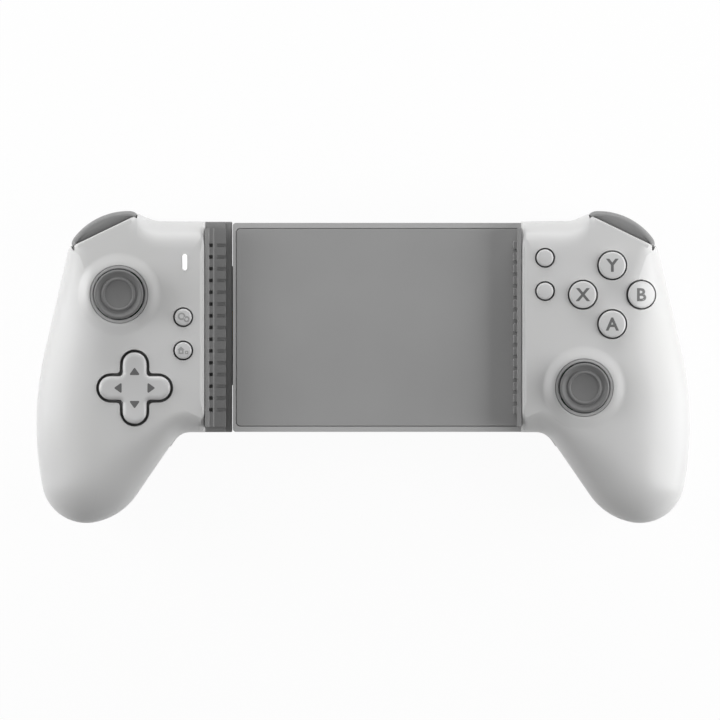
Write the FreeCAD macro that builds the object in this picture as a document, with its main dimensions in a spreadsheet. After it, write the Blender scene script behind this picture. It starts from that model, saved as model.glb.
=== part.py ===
import FreeCAD, Part
import math
import os
import re

import Sketcher
from FreeCAD import Placement, Rotation, Vector

# A telescopic gamepad that clamps round a phone. It lies on its back: X runs from the
# left grip to the right grip, Y runs up towards the shoulder buttons, and Z runs out of
# the front face. The origin is on the table under the middle of the whole part.
# Every length is in millimetres and every angle in degrees.

SIZES = {
    # Outline of the right grip, seen from the front: nine corners and their rounding.
    "inner_x": 49.5,
    "wall_x": 52.8,
    "heel_x": 61.4,
    "heel_y": -21.8,
    "heel_round": 7.0,
    "palm_x": 80.4,
    "palm_y": -49.5,
    "palm_round": 21.7,
    "tip_x": 104.3,
    "tip_y": -55.8,
    "tip_round": 15.0,
    "flank_x": 111.6,
    "flank_y": -16.7,
    "flank_round": 110.0,
    "shoulder_x": 98.4,
    "shoulder_y": 40.1,
    "shoulder_round": 2.2,
    "crest_x": 75.3,
    "crest_y": 51.2,
    "crest_round": 1.2,
    "dip_x": 69.5,
    "dip_y": 48.8,
    "dip_round": 9.0,
    "top_y": 48.6,
    "inner_round": 1.2,
    # Heights of the grip, from the table up.
    "front_z": 46.0,
    "part_z": 30.0,
    "side_z": 33.5,
    "wall": 2.0,
    "wall_edge": 2.2,
    # How far the front face is drawn in from each edge of the outline.
    "roll_heel": 4.5,
    "roll_palm": 10.0,
    "roll_tip": 12.5,
    "roll_flank": 12.0,
    "roll_side": 5.5,
    "roll_shoulder": 2.0,
    "roll_top": 4.5,
    # The palm swell under the grip: the flat foot that it ends in.
    "foot_x": 95.0,
    "foot_y": -37.0,
    "foot_share": 0.2,
    "swell_curve": 1.75,
    "swell_spacing": 1.3,
    "floor_extra": 0.4,
    "tolerance": 0.01,
    # How far a cutting tool reaches past what it cuts.
    "spare": 1.0,
    # Screw bosses that hold each grip's two shells together.
    "boss_radius": 3.0,
    "screw_radius": 1.1,
    "screw_head_radius": 2.3,
    "screw_head_height": 1.5,
    "screw_seat_z": 25.0,
    "screw_top_z": 39.0,
    "screw_slack": 0.05,
    "heel_boss_x": 58.5,
    "heel_boss_y": -15.5,
    "top_boss_x": 69.0,
    "top_boss_y": 42.0,
    "palm_boss_x": 91.0,
    "palm_boss_y": -38.0,
    # Circuit boards.
    "board_z": 30.0,
    "board_thick": 1.6,
    "board_inset": 4.2,
    # Round buttons.
    "action_x": 83.0,
    "action_y": 24.1,
    "action_pitch": 9.8,
    "action_radius": 4.5,
    "action_top_z": 48.0,
    "small_radius": 2.8,
    "small_top_z": 47.2,
    "menu_x": 60.6,
    "menu_upper_y": 36.4,
    "menu_lower_y": 25.3,
    "function_x": -60.0,
    "function_upper_y": 16.6,
    "function_lower_y": 5.5,
    "button_gap": 0.35,
    "button_travel": 1.0,
    "button_flange": 0.8,
    "button_foot_z": 36.4,
    "seat_gap": 0.3,
    # Rubber sheets under the buttons.
    "sheet_thick": 0.8,
    "dome_share": 0.8,
    "small_sheet": 4.2,
    # Indicator light.
    "light_x": -59.5,
    "light_y": 34.9,
    "light_width": 1.8,
    "light_length": 5.7,
    "light_gap": 0.1,
    "light_lamp": 1.7,
    "collar_width": 0.8,
    "collar_height": 1.2,
    "collar_gap": 0.1,
    # Direction pad.
    "pad_x": -76.2,
    "pad_y": -7.0,
    "pad_span": 23.8,
    "pad_arm": 7.9,
    "pad_gap": 0.85,
    "pad_corner": 1.2,
    "pad_top_z": 47.7,
    "pad_dish": 0.9,
    "pad_edge": 0.7,
    "pad_skirt_z": 39.0,
    "pad_flange": 1.1,
    "pad_flange_top_z": 42.6,
    "pad_pivot_z": 41.0,
    "pad_rubber_radius": 9.0,
    "pad_rubber_base_z": 35.4,
    "pad_rubber_top_z": 38.2,
    "pad_plunger_radius": 1.8,
    "pad_plunger_reach": 6.6,
    "pad_plunger_z": 32.4,
    "pad_post_radius": 1.8,
    # Thumb sticks.
    "right_stick_x": 73.7,
    "right_stick_y": -6.9,
    "left_stick_x": -81.4,
    "left_stick_y": 24.2,
    "stick_z": 36.5,
    "cap_radius": 8.3,
    "cap_thick": 3.6,
    "cap_edge": 0.5,
    "cap_rim_width": 2.0,
    "cap_ridge_radius": 5.85,
    "cap_dish_depth": 0.9,
    "cap_groove_depth": 0.8,
    "cap_neck_radius": 4.0,
    "cap_neck_height": 3.5,
    "cap_under": 1.3,
    "shaft_radius": 1.6,
    "shaft_foot": 3.0,
    "shaft_foot_edge": 0.8,
    "dome_radius": 9.6,
    "dome_wall": 0.8,
    "dome_spread": 42.0,
    "post_radius": 1.95,
    "dish_radius": 13.9,
    "dish_floor_radius": 10.3,
    "dish_floor_z": 43.6,
    "dish_plate": 1.8,
    "stick_hole_radius": 8.7,
    "ring_radius": 9.65,
    "ring_hole_radius": 8.5,
    "ring_top_z": 45.0,
    "ring_edge": 0.35,
    # The two-axis bearing inside each stick module, measured from its centre.
    "can_half": 8.5,
    "can_wall": 1.0,
    "can_rise": 3.0,
    "can_drop": 4.9,
    "journal_radius": 1.2,
    "journal_gap": 0.05,
    "carrier_half_x": 4.4,
    "carrier_half_y": 5.5,
    "carrier_half_z": 1.35,
    "carrier_window_x": 2.9,
    "carrier_window_y": 3.9,
    "pivot_half_x": 2.6,
    "pivot_half_y": 2.3,
    "pivot_half_z": 1.3,
    "pivot_pin_radius": 0.8,
    "arch_inner_x": 4.9,
    "arch_outer_x": 6.1,
    "arch_half_y": 2.9,
    "arch_under": 3.5,
    "arch_over": 4.6,
    "arch_slot_half": 2.0,
    "arch_slot_reach": 3.8,
    "sensor_thick": 2.2,
    "sensor_half": 5.0,
    "switch_half": 2.4,
    "switch_height": 1.3,
    # Shoulder corner: bumper above, trigger below. Measured along the shoulder line from
    # the crest, and outwards from that line.
    "bumper_rise": 4.4,
    "bumper_side": 1.0,
    "bumper_start": 0.4,
    "bumper_end": 24.3,
    "bumper_low_z": 30.6,
    "bumper_high_z": 43.4,
    "bumper_back": -1.6,
    "bumper_edge": 0.9,
    "pocket_back": -3.6,
    "pocket_gap": 0.35,
    "hinge_along": 4.0,
    "hinge_back": -6.0,
    "hinge_radius": 1.0,
    "hinge_gap": 0.06,
    "lug_radius": 2.2,
    "lug_low_z": 34.5,
    "lug_high_z": 39.5,
    "hinge_top_z": 43.0,
    "pin_stub": 1.0,
    "trigger_start": 2.2,
    "trigger_end": 22.4,
    "trigger_low_z": 2.6,
    "trigger_high_z": 29.6,
    "trigger_wall": 1.6,
    "trigger_setback": 0.9,
    "trigger_cheek": 8.0,
    "trigger_bulge": 3.4,
    "trigger_waist": 0.6,
    "trigger_flare": 1.2,
    "cheek_radius": 3.6,
    "slot_reach": 12.5,
    "face_reach": 0.6,
    "nose_radius": 3.2,
    "nose_top_out": -17.0,
    "nose_top_z": 28.8,
    "nose_heel_out": -4.6,
    "nose_heel_z": 28.8,
    "nose_chin_out": -2.0,
    "nose_chin_z": 23.5,
    "nose_toe_out": -9.6,
    "nose_toe_z": 5.5,
    "nose_foot_out": -13.0,
    "nose_foot_z": 0.0,
    "nose_tail_out": -19.5,
    "nose_tail_z": 0.0,
    "nose_spine_out": -22.0,
    "nose_spine_z": 13.0,
    "nose_root_out": -18.0,
    "nose_root_z": 24.0,
    "nose_hollow": 0.7,
    "nose_mouth": 1.0,
    "axle_inset": 0.3,
    "axle_back": -4.6,
    "axle_z": 25.6,
    "axle_radius": 1.25,
    "axle_gap": 0.05,
    "nose_gap": 0.3,
    "coil_radius": 2.3,
    "coil_length": 5.0,
    # Bridge that the phone lies on, and the arm that slides in it.
    "bridge_left_x": -43.6,
    "bridge_low_y": -21.7,
    "bridge_high_y": 48.2,
    "bridge_back_z": 21.0,
    "floor_z": 33.0,
    "mat_thick": 1.5,
    "mat_gap": 0.2,
    "frame_left": 1.0,
    "frame_side": 1.75,
    "cover_thick": 1.6,
    "bridge_wall": 2.4,
    "bridge_roof": 2.0,
    "tenon_x": 57.8,
    "tenon_wall": 1.5,
    "cover_screw_in": 6.0,
    "cover_screw_side": 6.0,
    "cover_screw_length": 6.0,
    "cover_head_depth": 1.0,
    "tongue_low_y": -6.0,
    "tongue_high_y": 33.7,
    "tongue_low_z": 23.0,
    "tongue_high_z": 27.6,
    "tongue_root_x": -61.0,
    "tongue_end_x": 62.0,
    "tongue_gap": 0.2,
    "lug_length": 4.0,
    "lug_width": 1.2,
    "stop_x": -20.2,
    "channel_top_z": 28.3,
    "ledge_x": -43.9,
    "ledge_top_z": 31.5,
    "ledge_step": 2.1,
    "ledge_step_drop": 0.8,
    "slot_start_x": 34.0,
    "slot_width": 5.0,
    "spring_offset": 7.6,
    "spring_radius": 2.0,
    "spring_post_x": 88.0,
    "spring_post_radius": 1.6,
    "ribbon_width": 10.0,
    "ribbon_thick": 0.3,
    "ribbon_gap": 0.15,
    "ribbon_end_x": 64.0,
    "ribbon_end": 3.0,
    # Ribbed rubber pads that grip the phone's two ends.
    "rib_pitch": 3.93,
    "rib_count": 15.0,
    "groove_width": 1.2,
    "groove_depth": 0.7,
    "groove_reach": 2.9,
    "pad_low_y": -20.0,
    "pad_high_y": 46.4,
    "pad_wall_top_z": 44.0,
    "pad_skin": 1.4,
    "right_rib": 1.3,
    # Battery and charging socket.
    "battery_x": 86.5,
    "battery_y": -14.0,
    "battery_width": 20.0,
    "battery_length": 24.0,
    "battery_height": 8.0,
    "battery_z": 7.6,
    "cradle_thick": 2.0,
    "cradle_reach": 6.0,
    "socket_x": 60.5,
    "socket_width": 8.9,
    "socket_height": 3.3,
    "socket_length": 7.4,
    "socket_wall": 0.35,
    "socket_tongue": 0.7,
    "socket_gap": 0.15,
}

doc = FreeCAD.newDocument("gamepad")
sheet = doc.addObject("Spreadsheet::Sheet", "Sizes")
for row, (alias, value) in enumerate(SIZES.items(), start=1):
    sheet.set("A%d" % row, alias)
    sheet.set("B%d" % row, str(value))
    sheet.setAlias("B%d" % row, alias)
doc.recompute()

NODES = []
REACH = 120.0
SIDES = 20
WIDE_SIDES = 28
SMALL_SIDES = 10


def size(alias):
    """Return one driving dimension from the sheet."""
    return float(sheet.get(alias))


def node(thing, label):
    """Give a finished sub-part its own name and list it for writing."""
    thing.Label = label
    NODES.append(thing)
    return thing


def bind(thing, field, formula):
    """Tie a field to a formula in which the sheet's aliases are plain words."""
    def link(match):
        word = match.group(0)
        return "Sizes." + word if word in SIZES else word
    thing.setExpression(field, re.sub(r"[a-z][a-z_]*", link, str(formula)))


def place(thing, x, y, z):
    """Tie the place of a primitive or body to three formulas."""
    for axis, formula in zip("xyz", (x, y, z)):
        bind(thing, "Placement.Base." + axis, formula)


def box(x, y, z, length, width, height):
    """A block from its lowest corner, each value a formula."""
    block = doc.addObject("Part::Box", "block")
    for field, formula in (("Length", length), ("Width", width), ("Height", height)):
        bind(block, field, formula)
    place(block, x, y, z)
    return block


AXIS_TURN = {
    "x": Rotation(Vector(0, 1, 0), 90),
    "y": Rotation(Vector(1, 0, 0), -90),
    "z": Rotation(),
}


def rod(x, y, z, radius, length, along="z", sides=0):
    """A bar from the middle of its first end, each value a formula. Sides make it a prism."""
    bar = doc.addObject("Part::Prism" if sides else "Part::Cylinder", "bar")
    if sides:
        bar.Polygon = sides
    bind(bar, "Circumradius" if sides else "Radius", radius)
    bind(bar, "Height", length)
    bar.Placement = Placement(Vector(), AXIS_TURN[along])
    place(bar, x, y, z)
    return bar


def joined(*things):
    """One solid from several that touch or overlap."""
    whole = doc.addObject("Part::MultiFuse", "whole")
    whole.Shapes = list(things)
    return whole


def carved(base, *tools):
    """A base with every tool cut out of it."""
    result = doc.addObject("Part::Cut", "carved")
    result.Base = base
    result.Tool = tools[0] if len(tools) == 1 else joined(*tools)
    return result


def mirrored(thing):
    """The same piece on the left grip."""
    twin = doc.addObject("Part::Mirroring", "twin")
    twin.Source = thing
    twin.Normal = Vector(1, 0, 0)
    return twin


def formed(shape, name="form"):
    """A computed shape as an object of the document."""
    thing = doc.addObject("Part::Feature", name)
    thing.Shape = shape
    return thing


def plane_of(body, role):
    """One of a body's own origin planes."""
    return [item for item in body.Origin.OriginFeatures if item.Role == role][0]


def outline(body, role, points):
    """A closed sketch of straight edges, every corner tied to two formulas."""
    sketch = body.newObject("Sketcher::SketchObject", "outline")
    sketch.AttachmentSupport = [(plane_of(body, role), "")]
    sketch.MapMode = "FlatFace"
    scratch = doc.addObject("App::FeaturePython", "scratch")
    spots = []
    for number, pair in enumerate(points):
        spot = []
        for letter, formula in zip("uv", pair):
            field = "%s%d" % (letter, number)
            scratch.addProperty("App::PropertyFloat", field)
            bind(scratch, field, formula)
            spot.append(field)
        spots.append(spot)
    doc.recompute()
    ends = [Vector(getattr(scratch, u), getattr(scratch, v), 0) for u, v in spots]
    doc.removeObject(scratch.Name)
    count = len(ends)
    for number in range(count):
        sketch.addGeometry(Part.LineSegment(ends[number], ends[(number + 1) % count]))
    for number in range(count):
        sketch.addConstraint(
            Sketcher.Constraint("Coincident", number, 2, (number + 1) % count, 1))
    for number, (pair, end) in enumerate(zip(points, ends)):
        for kind, formula, value in (("DistanceX", pair[0], end.x), ("DistanceY", pair[1], end.y)):
            if str(formula) == "0":
                rule = Sketcher.Constraint("PointOnObject", number, 1, -2 if kind == "DistanceX" else -1)
                sketch.addConstraint(rule)
                continue
            index = sketch.addConstraint(Sketcher.Constraint(kind, -1, 1, number, 1, value))
            bind(sketch, "Constraints[%d]" % index, formula)
    return sketch


def padded(points, height, x="0", y="0", z="0"):
    """A plate: its outline in X and Y, raised by its height."""
    body = doc.addObject("PartDesign::Body", "plate")
    sketch = outline(body, "XY_Plane", points)
    lift = body.newObject("PartDesign::Pad", "lift")
    lift.Profile = sketch
    bind(lift, "Length", height)
    place(body, x, y, z)
    return body


# Grip form. A level is a closed loop round the nine corners at one height, each corner
# rounded by equal chords; a form is the stack of flat facets between its levels.

CORNERS = ("inner_low", "heel", "palm", "tip", "flank", "shoulder", "crest", "dip", "inner_top")
EDGE_ROLLS = ("heel", "palm", "tip", "flank", "side", "shoulder", "top", "top")
DENTS = ("heel", "dip")
SHARP = 0.4
OUTER_CHORDS = (1, 3, 7, 9, 4, 2, 2, 3, 1)
INNER_CHORDS = (1, 1, 3, 3, 1, 1, 1, 1, 1)
FRONT_TURNS = (0, 20, 40, 58, 75, 90)
HOLLOW_TURNS = (0, 45, 90)
SWELL_STEPS = 6
SWELL_HOLLOW_STEPS = 3
ARM_CHORDS = 8
CORNER_CHORDS = 2


def grip_corners():
    """The nine corners of the right grip's outline."""
    spots = [Vector(size("inner_x"), size("heel_y"), 0)]
    for name in CORNERS[1:-1]:
        spots.append(Vector(size(name + "_x"), size(name + "_y"), 0))
    spots.append(Vector(size("inner_x"), size("top_y"), 0))
    return spots


def corner_rounds():
    """The rounding radius of each corner."""
    rounds = [size(name + "_round") for name in CORNERS[1:-1]]
    return [size("inner_round")] + rounds + [size("inner_round")]


def drawn_in(spots, insets):
    """Move every edge of a loop inwards by its own amount."""
    count = len(spots)
    lines = []
    for number in range(count):
        start, end = spots[number], spots[(number + 1) % count]
        along = (end - start).normalize()
        inward = Vector(-along.y, along.x, 0)
        lines.append((start + inward * insets[number], along))
    moved = []
    for number in range(count):
        (point, along), (other, across) = lines[number - 1], lines[number]
        cross = along.x * across.y - along.y * across.x
        gap = other - point
        reach = (gap.x * across.y - gap.y * across.x) / cross
        moved.append(point + along * reach)
    return moved


def level(spots, rounds, height, chords):
    """The points of a loop at one height, with every corner rounded by its own chords."""
    count = len(spots)
    points = []
    for number in range(count):
        before = (spots[number - 1] - spots[number]).normalize()
        after = (spots[(number + 1) % count] - spots[number]).normalize()
        half = before.getAngle(after) / 2
        start = spots[number] + before * (rounds[number] / math.tan(half))
        centre = spots[number] + (before + after).normalize() * (rounds[number] / math.sin(half))
        turn = math.degrees(math.pi - 2 * half)
        if CORNERS[number] in DENTS:
            turn = -turn
        for step in range(chords[number] + 1):
            swing = Rotation(Vector(0, 0, 1), turn * step / chords[number])
            points.append(centre + swing.multVec(start - centre) + Vector(0, 0, height))
    return points


def flat_face(points):
    """A flat face inside a loop of points."""
    return Part.Face(Part.makePolygon(list(points) + [points[0]]))


def stacked(levels):
    """The solid between the first and the last of a stack of levels."""
    faces = [flat_face(levels[0]), flat_face(levels[-1])]
    for low, high in zip(levels, levels[1:]):
        for number in range(len(low)):
            after = (number + 1) % len(low)
            faces.append(flat_face((low[number], low[after], high[after], high[number])))
    solid = Part.Solid(Part.Shell(faces))
    if solid.Volume < 0:
        solid.reverse()
    return solid


def spun(profile, sides=SIDES):
    """A round piece of flat facets: its closed half profile of radius and height, spun round Z."""
    swing = 2 * math.pi / sides
    rings = [[Vector(radius * math.cos(swing * step), radius * math.sin(swing * step), height)
              for step in range(sides)] for radius, height in profile]
    faces = []
    for low, high in zip(rings, rings[1:] + rings[:1]):
        for step in range(sides):
            after = (step + 1) % sides
            corners = []
            for corner in (low[step], low[after], high[after], high[step]):
                if all(corner.distanceToPoint(other) > size("tolerance") for other in corners):
                    corners.append(corner)
            if len(corners) > 2:
                faces.append(flat_face(corners))
    solid = Part.Solid(Part.Shell(faces))
    if solid.Volume < 0:
        solid.reverse()
    return solid.removeSplitter()


def front_level(turn, skin=0.0, height=None):
    """A level of the front shell, at an angle round its rolled edge.

    With a skin, it is the level of the space inside that skin.
    """
    fall = 1 - math.cos(math.radians(turn))
    insets = [skin + (size("roll_" + name) - skin) * fall for name in EDGE_ROLLS]
    insets.append(skin + size("wall_x") - size("inner_x") if skin else 0.0)
    spots = grip_corners()
    rounds = []
    for number, radius in enumerate(corner_rounds()):
        mean = (insets[number - 1] + insets[number]) / 2
        if CORNERS[number] in DENTS:
            rounds.append(SHARP if skin else radius + mean)
        else:
            rounds.append(max(SHARP, radius - mean))
    side_z, top_z = size("side_z"), size("front_z") - skin
    if height is None:
        height = side_z + (top_z - side_z) * math.sin(math.radians(turn))
    return level(drawn_in(spots, insets), rounds, height, INNER_CHORDS if skin else OUTER_CHORDS)


def swell_share(height):
    """How large the outline is at a height of the palm swell, next to the full outline."""
    depth = max(0.0, min(1.0, height / size("part_z")))
    full = (1 - (1 - depth) ** size("swell_curve")) ** (1 / size("swell_curve"))
    return size("foot_share") + (1 - size("foot_share")) * full


def rear_level(height, skin=0.0):
    """A level of the rear shell: the outline shrunk towards the middle of the palm.

    With a skin, it is the level of the space inside that skin.
    """
    share = swell_share(height - skin)
    palm = Vector(size("foot_x"), size("foot_y"), 0)
    spots = [palm + (spot - palm) * share for spot in grip_corners()]
    rounds = [radius * share for radius in corner_rounds()]
    if skin:
        insets = [skin] * len(spots)
        insets[-1] = skin + (size("wall_x") - size("inner_x")) * share
        spots = drawn_in(spots, insets)
        rounds = [SHARP if name in DENTS else max(SHARP, radius - skin)
                  for name, radius in zip(CORNERS, rounds)]
    return level(spots, rounds, height, INNER_CHORDS if skin else OUTER_CHORDS)


def far_side():
    """The space on the bridge's side of a grip's inner wall."""
    corner = Vector(size("wall_x") - REACH, -REACH, -size("spare"))
    return Part.makeBox(REACH, 2 * REACH, REACH, corner)


def wall_edge_tool():
    """What rounds the long edge between the inner wall and the front face."""
    radius = size("wall_edge")
    corner = Vector(size("wall_x"), -REACH, size("front_z") - radius)
    block = Part.makeBox(radius, 2 * REACH, radius + size("spare"), corner)
    bar = Part.makeCylinder(radius, 2 * REACH, corner + Vector(radius, 0, 0), Vector(0, 1, 0))
    return block.cut(bar)


# Shoulder corner. Lengths there run along the line from the crest to the shoulder corner,
# and outwards from it, so one placement seats the bumper, the trigger and their bearings.

def shoulder_place():
    """Where the shoulder line starts and how it is turned."""
    start = Vector(size("crest_x"), size("crest_y"), 0)
    run = Vector(size("shoulder_x"), size("shoulder_y"), 0) - start
    return Placement(start, Rotation(Vector(0, 0, 1), math.degrees(math.atan2(run.y, run.x))))


def seated(shape):
    """A shape drawn along the shoulder line, put where that line lies."""
    shape.Placement = shoulder_place().multiply(shape.Placement)
    return shape


def shoulder_block(along, out, low, high):
    """A block between two distances along the shoulder line, two outwards and two heights."""
    corner = Vector(along[0], out[0], low)
    return Part.makeBox(along[1] - along[0], out[1] - out[0], high - low, corner)


def shoulder_curve(start, end, back, setback):
    """The bumper's bowed outline, drawn in by a setback, as a face at height zero."""
    side, rise = size("bumper_side") - setback, size("bumper_rise") - setback
    bow = Part.Arc(Vector(end, side, 0), Vector((start + end) / 2, rise, 0), Vector(start, side, 0))
    corners = [Vector(start, side, 0), Vector(start, back, 0),
               Vector(end, back, 0), Vector(end, side, 0)]
    edges = [bow.toShape()]
    edges += [Part.LineSegment(a, b).toShape() for a, b in zip(corners, corners[1:])]
    return Part.Face(Part.Wire(edges))


def across(profile, along):
    """Raise a closed profile in the outward and height directions along the shoulder line."""
    start, end = along
    wire = Part.Wire(profile)
    wire.translate(Vector(start, 0, 0))
    return Part.Face(wire).extrude(Vector(end - start, 0, 0))


def side_path(points):
    """Edges through points in the outward and height directions; three names make an arc."""
    edges = []
    for run in points:
        spots = [Vector(0, out, up) for out, up in run]
        curve = Part.Arc(*spots) if len(spots) == 3 else Part.LineSegment(*spots)
        edges.append(curve.toShape())
    return edges


def bumper_shape():
    """A bowed key with a bevelled front and a lug that turns on an upright pin."""
    start, end = size("bumper_start"), size("bumper_end")
    low, high = size("bumper_low_z"), size("bumper_high_z")
    plan = shoulder_curve(start, end, size("bumper_back"), 0.0)
    plan.translate(Vector(0, 0, low))
    key = plan.extrude(Vector(0, 0, high - low))
    outer = [edge for edge in key.Edges
             if edge.BoundBox.ZLength < size("tolerance")
             and edge.BoundBox.YMax > size("bumper_side") + size("tolerance")]
    key = key.makeChamfer(size("bumper_edge"), outer)
    hinge = Vector(size("hinge_along"), size("hinge_back"), size("lug_low_z"))
    height = size("lug_high_z") - size("lug_low_z")
    radius = size("lug_radius")
    lug = Part.makeCylinder(radius, height, hinge)
    reach = size("bumper_back") - size("hinge_back") + size("spare")
    lug = lug.fuse(Part.makeBox(2 * radius, reach, height, hinge - Vector(radius, 0, 0)))
    bore = Part.makeCylinder(size("hinge_radius") + size("hinge_gap"), height, hinge)
    return key.fuse(lug).cut(bore).removeSplitter()


def bumper_pocket():
    """The window in the front shell that the bumper moves in."""
    gap = size("pocket_gap")
    along = (size("bumper_start") - gap, size("bumper_end") + gap)
    out = (size("pocket_back"), size("bumper_rise") + size("wall"))
    return shoulder_block(along, out, size("part_z") - size("spare"), size("bumper_high_z") + gap)


def trigger_shape():
    """A bowed lever: a curved face and two cheeks that hang on the axle."""
    wall, spare = size("trigger_wall"), size("spare")
    start, end = size("trigger_start"), size("trigger_end")
    low, high = size("trigger_low_z"), size("trigger_high_z")
    back, axle_out, axle_up = size("trigger_cheek"), size("axle_back"), size("axle_z")
    bulge, waist, flare = size("trigger_bulge"), size("trigger_waist"), size("trigger_flare")
    mid, knee = (low + high) / 2, low + (high - low) / 5
    hub = size("cheek_radius")
    face_path = [[(bulge, high), (bulge, high - (high - mid) / 2), (waist + (bulge - waist) / 2, mid)],
                 [(waist + (bulge - waist) / 2, mid), (waist, knee), (flare, low)]]
    outer = side_path(face_path + [
        [(flare, low), (flare - 2 * wall, low)],
        [(flare - 2 * wall, low), (-back, axle_up - hub)],
        [(-back, axle_up - hub), (-back, axle_up)],
        [(-back, axle_up), (axle_out, axle_up + hub)],
        [(axle_out, axle_up + hub), (bulge - 2 * wall, high)],
        [(bulge - 2 * wall, high), (bulge, high)]])
    body = across(outer, (start, end))
    plan = shoulder_curve(size("bumper_start"), size("bumper_end"), -REACH, size("trigger_setback"))
    body = body.common(plan.extrude(Vector(0, 0, REACH)))
    clear = size("nose_radius") + size("nose_gap")
    shift = [[(out - wall, up) for out, up in run] for run in face_path]
    room = side_path(shift + [
        [(flare - wall, low), (flare - wall, low - spare)],
        [(flare - wall, low - spare), (-REACH, low - spare)],
        [(-REACH, low - spare), (-REACH, high + spare)],
        [(-REACH, high + spare), (bulge - wall, high + spare)],
        [(bulge - wall, high + spare), (bulge - wall, high)]])
    inner_plan = shoulder_curve(size("bumper_start"), size("bumper_end"), -REACH,
                                size("trigger_setback") + wall)
    room = across(room, (start + wall, end - wall)).common(inner_plan.extrude(Vector(0, 0, REACH)))
    bore_start = Vector(start - spare, axle_out, axle_up)
    bore = Part.makeCylinder(size("axle_radius") + size("axle_gap"), end - start + 2 * spare,
                             bore_start, Vector(1, 0, 0))
    swing = Part.makeCylinder(clear, end - start - 2 * wall, Vector(start + wall, axle_out, axle_up),
                              Vector(1, 0, 0))
    return body.cut(room).cut(swing).cut(bore).removeSplitter()


def nose_span():
    """Where the trigger's bearing block starts and ends along the shoulder line."""
    inside = size("trigger_wall") + size("nose_gap")
    return size("trigger_start") + inside, size("trigger_end") - inside


NOSE_PROFILE = ("nose_top", "nose_heel", "nose_chin", "nose_toe", "nose_foot", "nose_tail",
                "nose_spine", "nose_root")


def nose_shape(hollow=False):
    """The bearing block behind the trigger, down to the foot that the grip lies on."""
    start, end = nose_span()
    wall = size("wall")
    spots = [Vector(0, size(name + "_out"), size(name + "_z")) for name in NOSE_PROFILE]
    if hollow:
        start, end = start + wall, end - wall
        middle = sum(spots[2:], Vector()) * (1 / len(spots[2:]))
        spots = [middle + (spot - middle) * size("nose_hollow") for spot in spots[2:]]
    block = Part.Face(Part.makePolygon(spots + spots[:1])).extrude(Vector(end - start, 0, 0))
    block.translate(Vector(start, 0, 0))
    if hollow:
        return block
    return block.fuse(along_axle(start, end, size("nose_radius")))


def nose_bore():
    """The bore for the trigger's axle and the room for the spring on it."""
    start, end = nose_span()
    gap = size("nose_gap")
    middle = (start + end) / 2
    half = size("coil_length") / 2 + gap
    room = along_axle(middle - half, middle + half, size("coil_radius") + gap)
    mouth = shoulder_block((middle - half, middle + half),
                           (size("axle_back"), size("nose_mouth")),
                           size("axle_z") - size("coil_radius") - gap,
                           size("axle_z") + size("coil_radius") + gap)
    bore = along_axle(start - gap, end + gap, size("axle_radius") + 2 * size("tolerance"))
    return bore.fuse([room, mouth])


def trigger_slots():
    """The two slots beside the bearing block that the trigger's cheeks swing in."""
    gap = size("nose_gap")
    start, end = size("trigger_start") - gap, size("trigger_end") + gap
    inner_start, inner_end = nose_span()
    out = (-size("slot_reach"), size("bumper_rise"))
    front = (-size("face_reach"), size("bumper_rise"))
    low, high = -size("spare"), size("part_z") + size("spare")
    first = shoulder_block((start, inner_start), out, low, high)
    second = shoulder_block((inner_end, end), out, low, high)
    face = shoulder_block((start, end), front, low, high)
    return first.fuse([second, face])


def along_axle(start, end, radius, hole=0.0):
    """A round bar or tube along the trigger's axle."""
    spot = Vector(start, size("axle_back"), size("axle_z"))
    bar = Part.makeCylinder(radius, end - start, spot, Vector(1, 0, 0))
    if hole:
        bar = bar.cut(Part.makeCylinder(hole, end - start, spot, Vector(1, 0, 0)))
    return bar


# Grip shells. Screw bosses, the dish round the stick and the plate under it are trimmed by
# the outer form, then every opening is cut.

BOSSES = ("heel_boss", "top_boss", "palm_boss")


def boss_spots():
    """The three screw places of the right grip."""
    return [Vector(size(name + "_x"), size(name + "_y"), 0) for name in BOSSES]


def upright(spot, radius, low, high, sides=SMALL_SIDES):
    """A many-sided post between two heights."""
    post = spun(((0, low), (radius, low), (radius, high), (0, high)), sides)
    post.translate(Vector(spot.x, spot.y, 0))
    return post


def round_post(spot, radius, low, high):
    """A truly round post between two heights, for what turns."""
    return Part.makeCylinder(radius, high - low, Vector(spot.x, spot.y, low))


def flipped(shape):
    """The mirror image of a shape across the middle of the gamepad."""
    return shape.mirror(Vector(), Vector(1, 0, 0))


def dish_tool(spot):
    """What hollows the front face round a stick: a flat floor with a bank in two slopes."""
    floor, rim, radius = size("dish_floor_z"), size("front_z"), size("dish_radius")
    inner = size("dish_floor_radius")
    over = rim + size("spare")
    dish = spun(((0, floor), (inner, floor), ((inner + radius) / 2, floor + (rim - floor) / 4),
                 (radius, rim), (radius, over), (0, over)), WIDE_SIDES)
    dish.translate(spot)
    return dish


def cross_loop(span, arm, corner, height):
    """The corners of a plus with round arm ends and rounded inner corners, at one height."""
    half, reach = arm / 2, (span - arm) / 2
    arcs = ((Vector(reach, 0, 0), half, -90, 180, ARM_CHORDS),
            (Vector(half + corner, half + corner, 0), corner, -90, -90, CORNER_CHORDS))
    points = []
    for quarter in range(4):
        turn = Rotation(Vector(0, 0, 1), 90 * quarter)
        for centre, radius, start, swing, chords in arcs:
            for step in range(chords + 1):
                angle = math.radians(start + swing * step / chords)
                spot = centre + Vector(math.cos(angle), math.sin(angle), 0) * radius
                points.append(turn.multVec(spot) + Vector(0, 0, height))
    return points


def cross_shape(span, arm, corner, low, high):
    """A plus with round arm ends, between two heights."""
    return stacked([cross_loop(span, arm, corner, height) for height in (low, high)])


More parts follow.
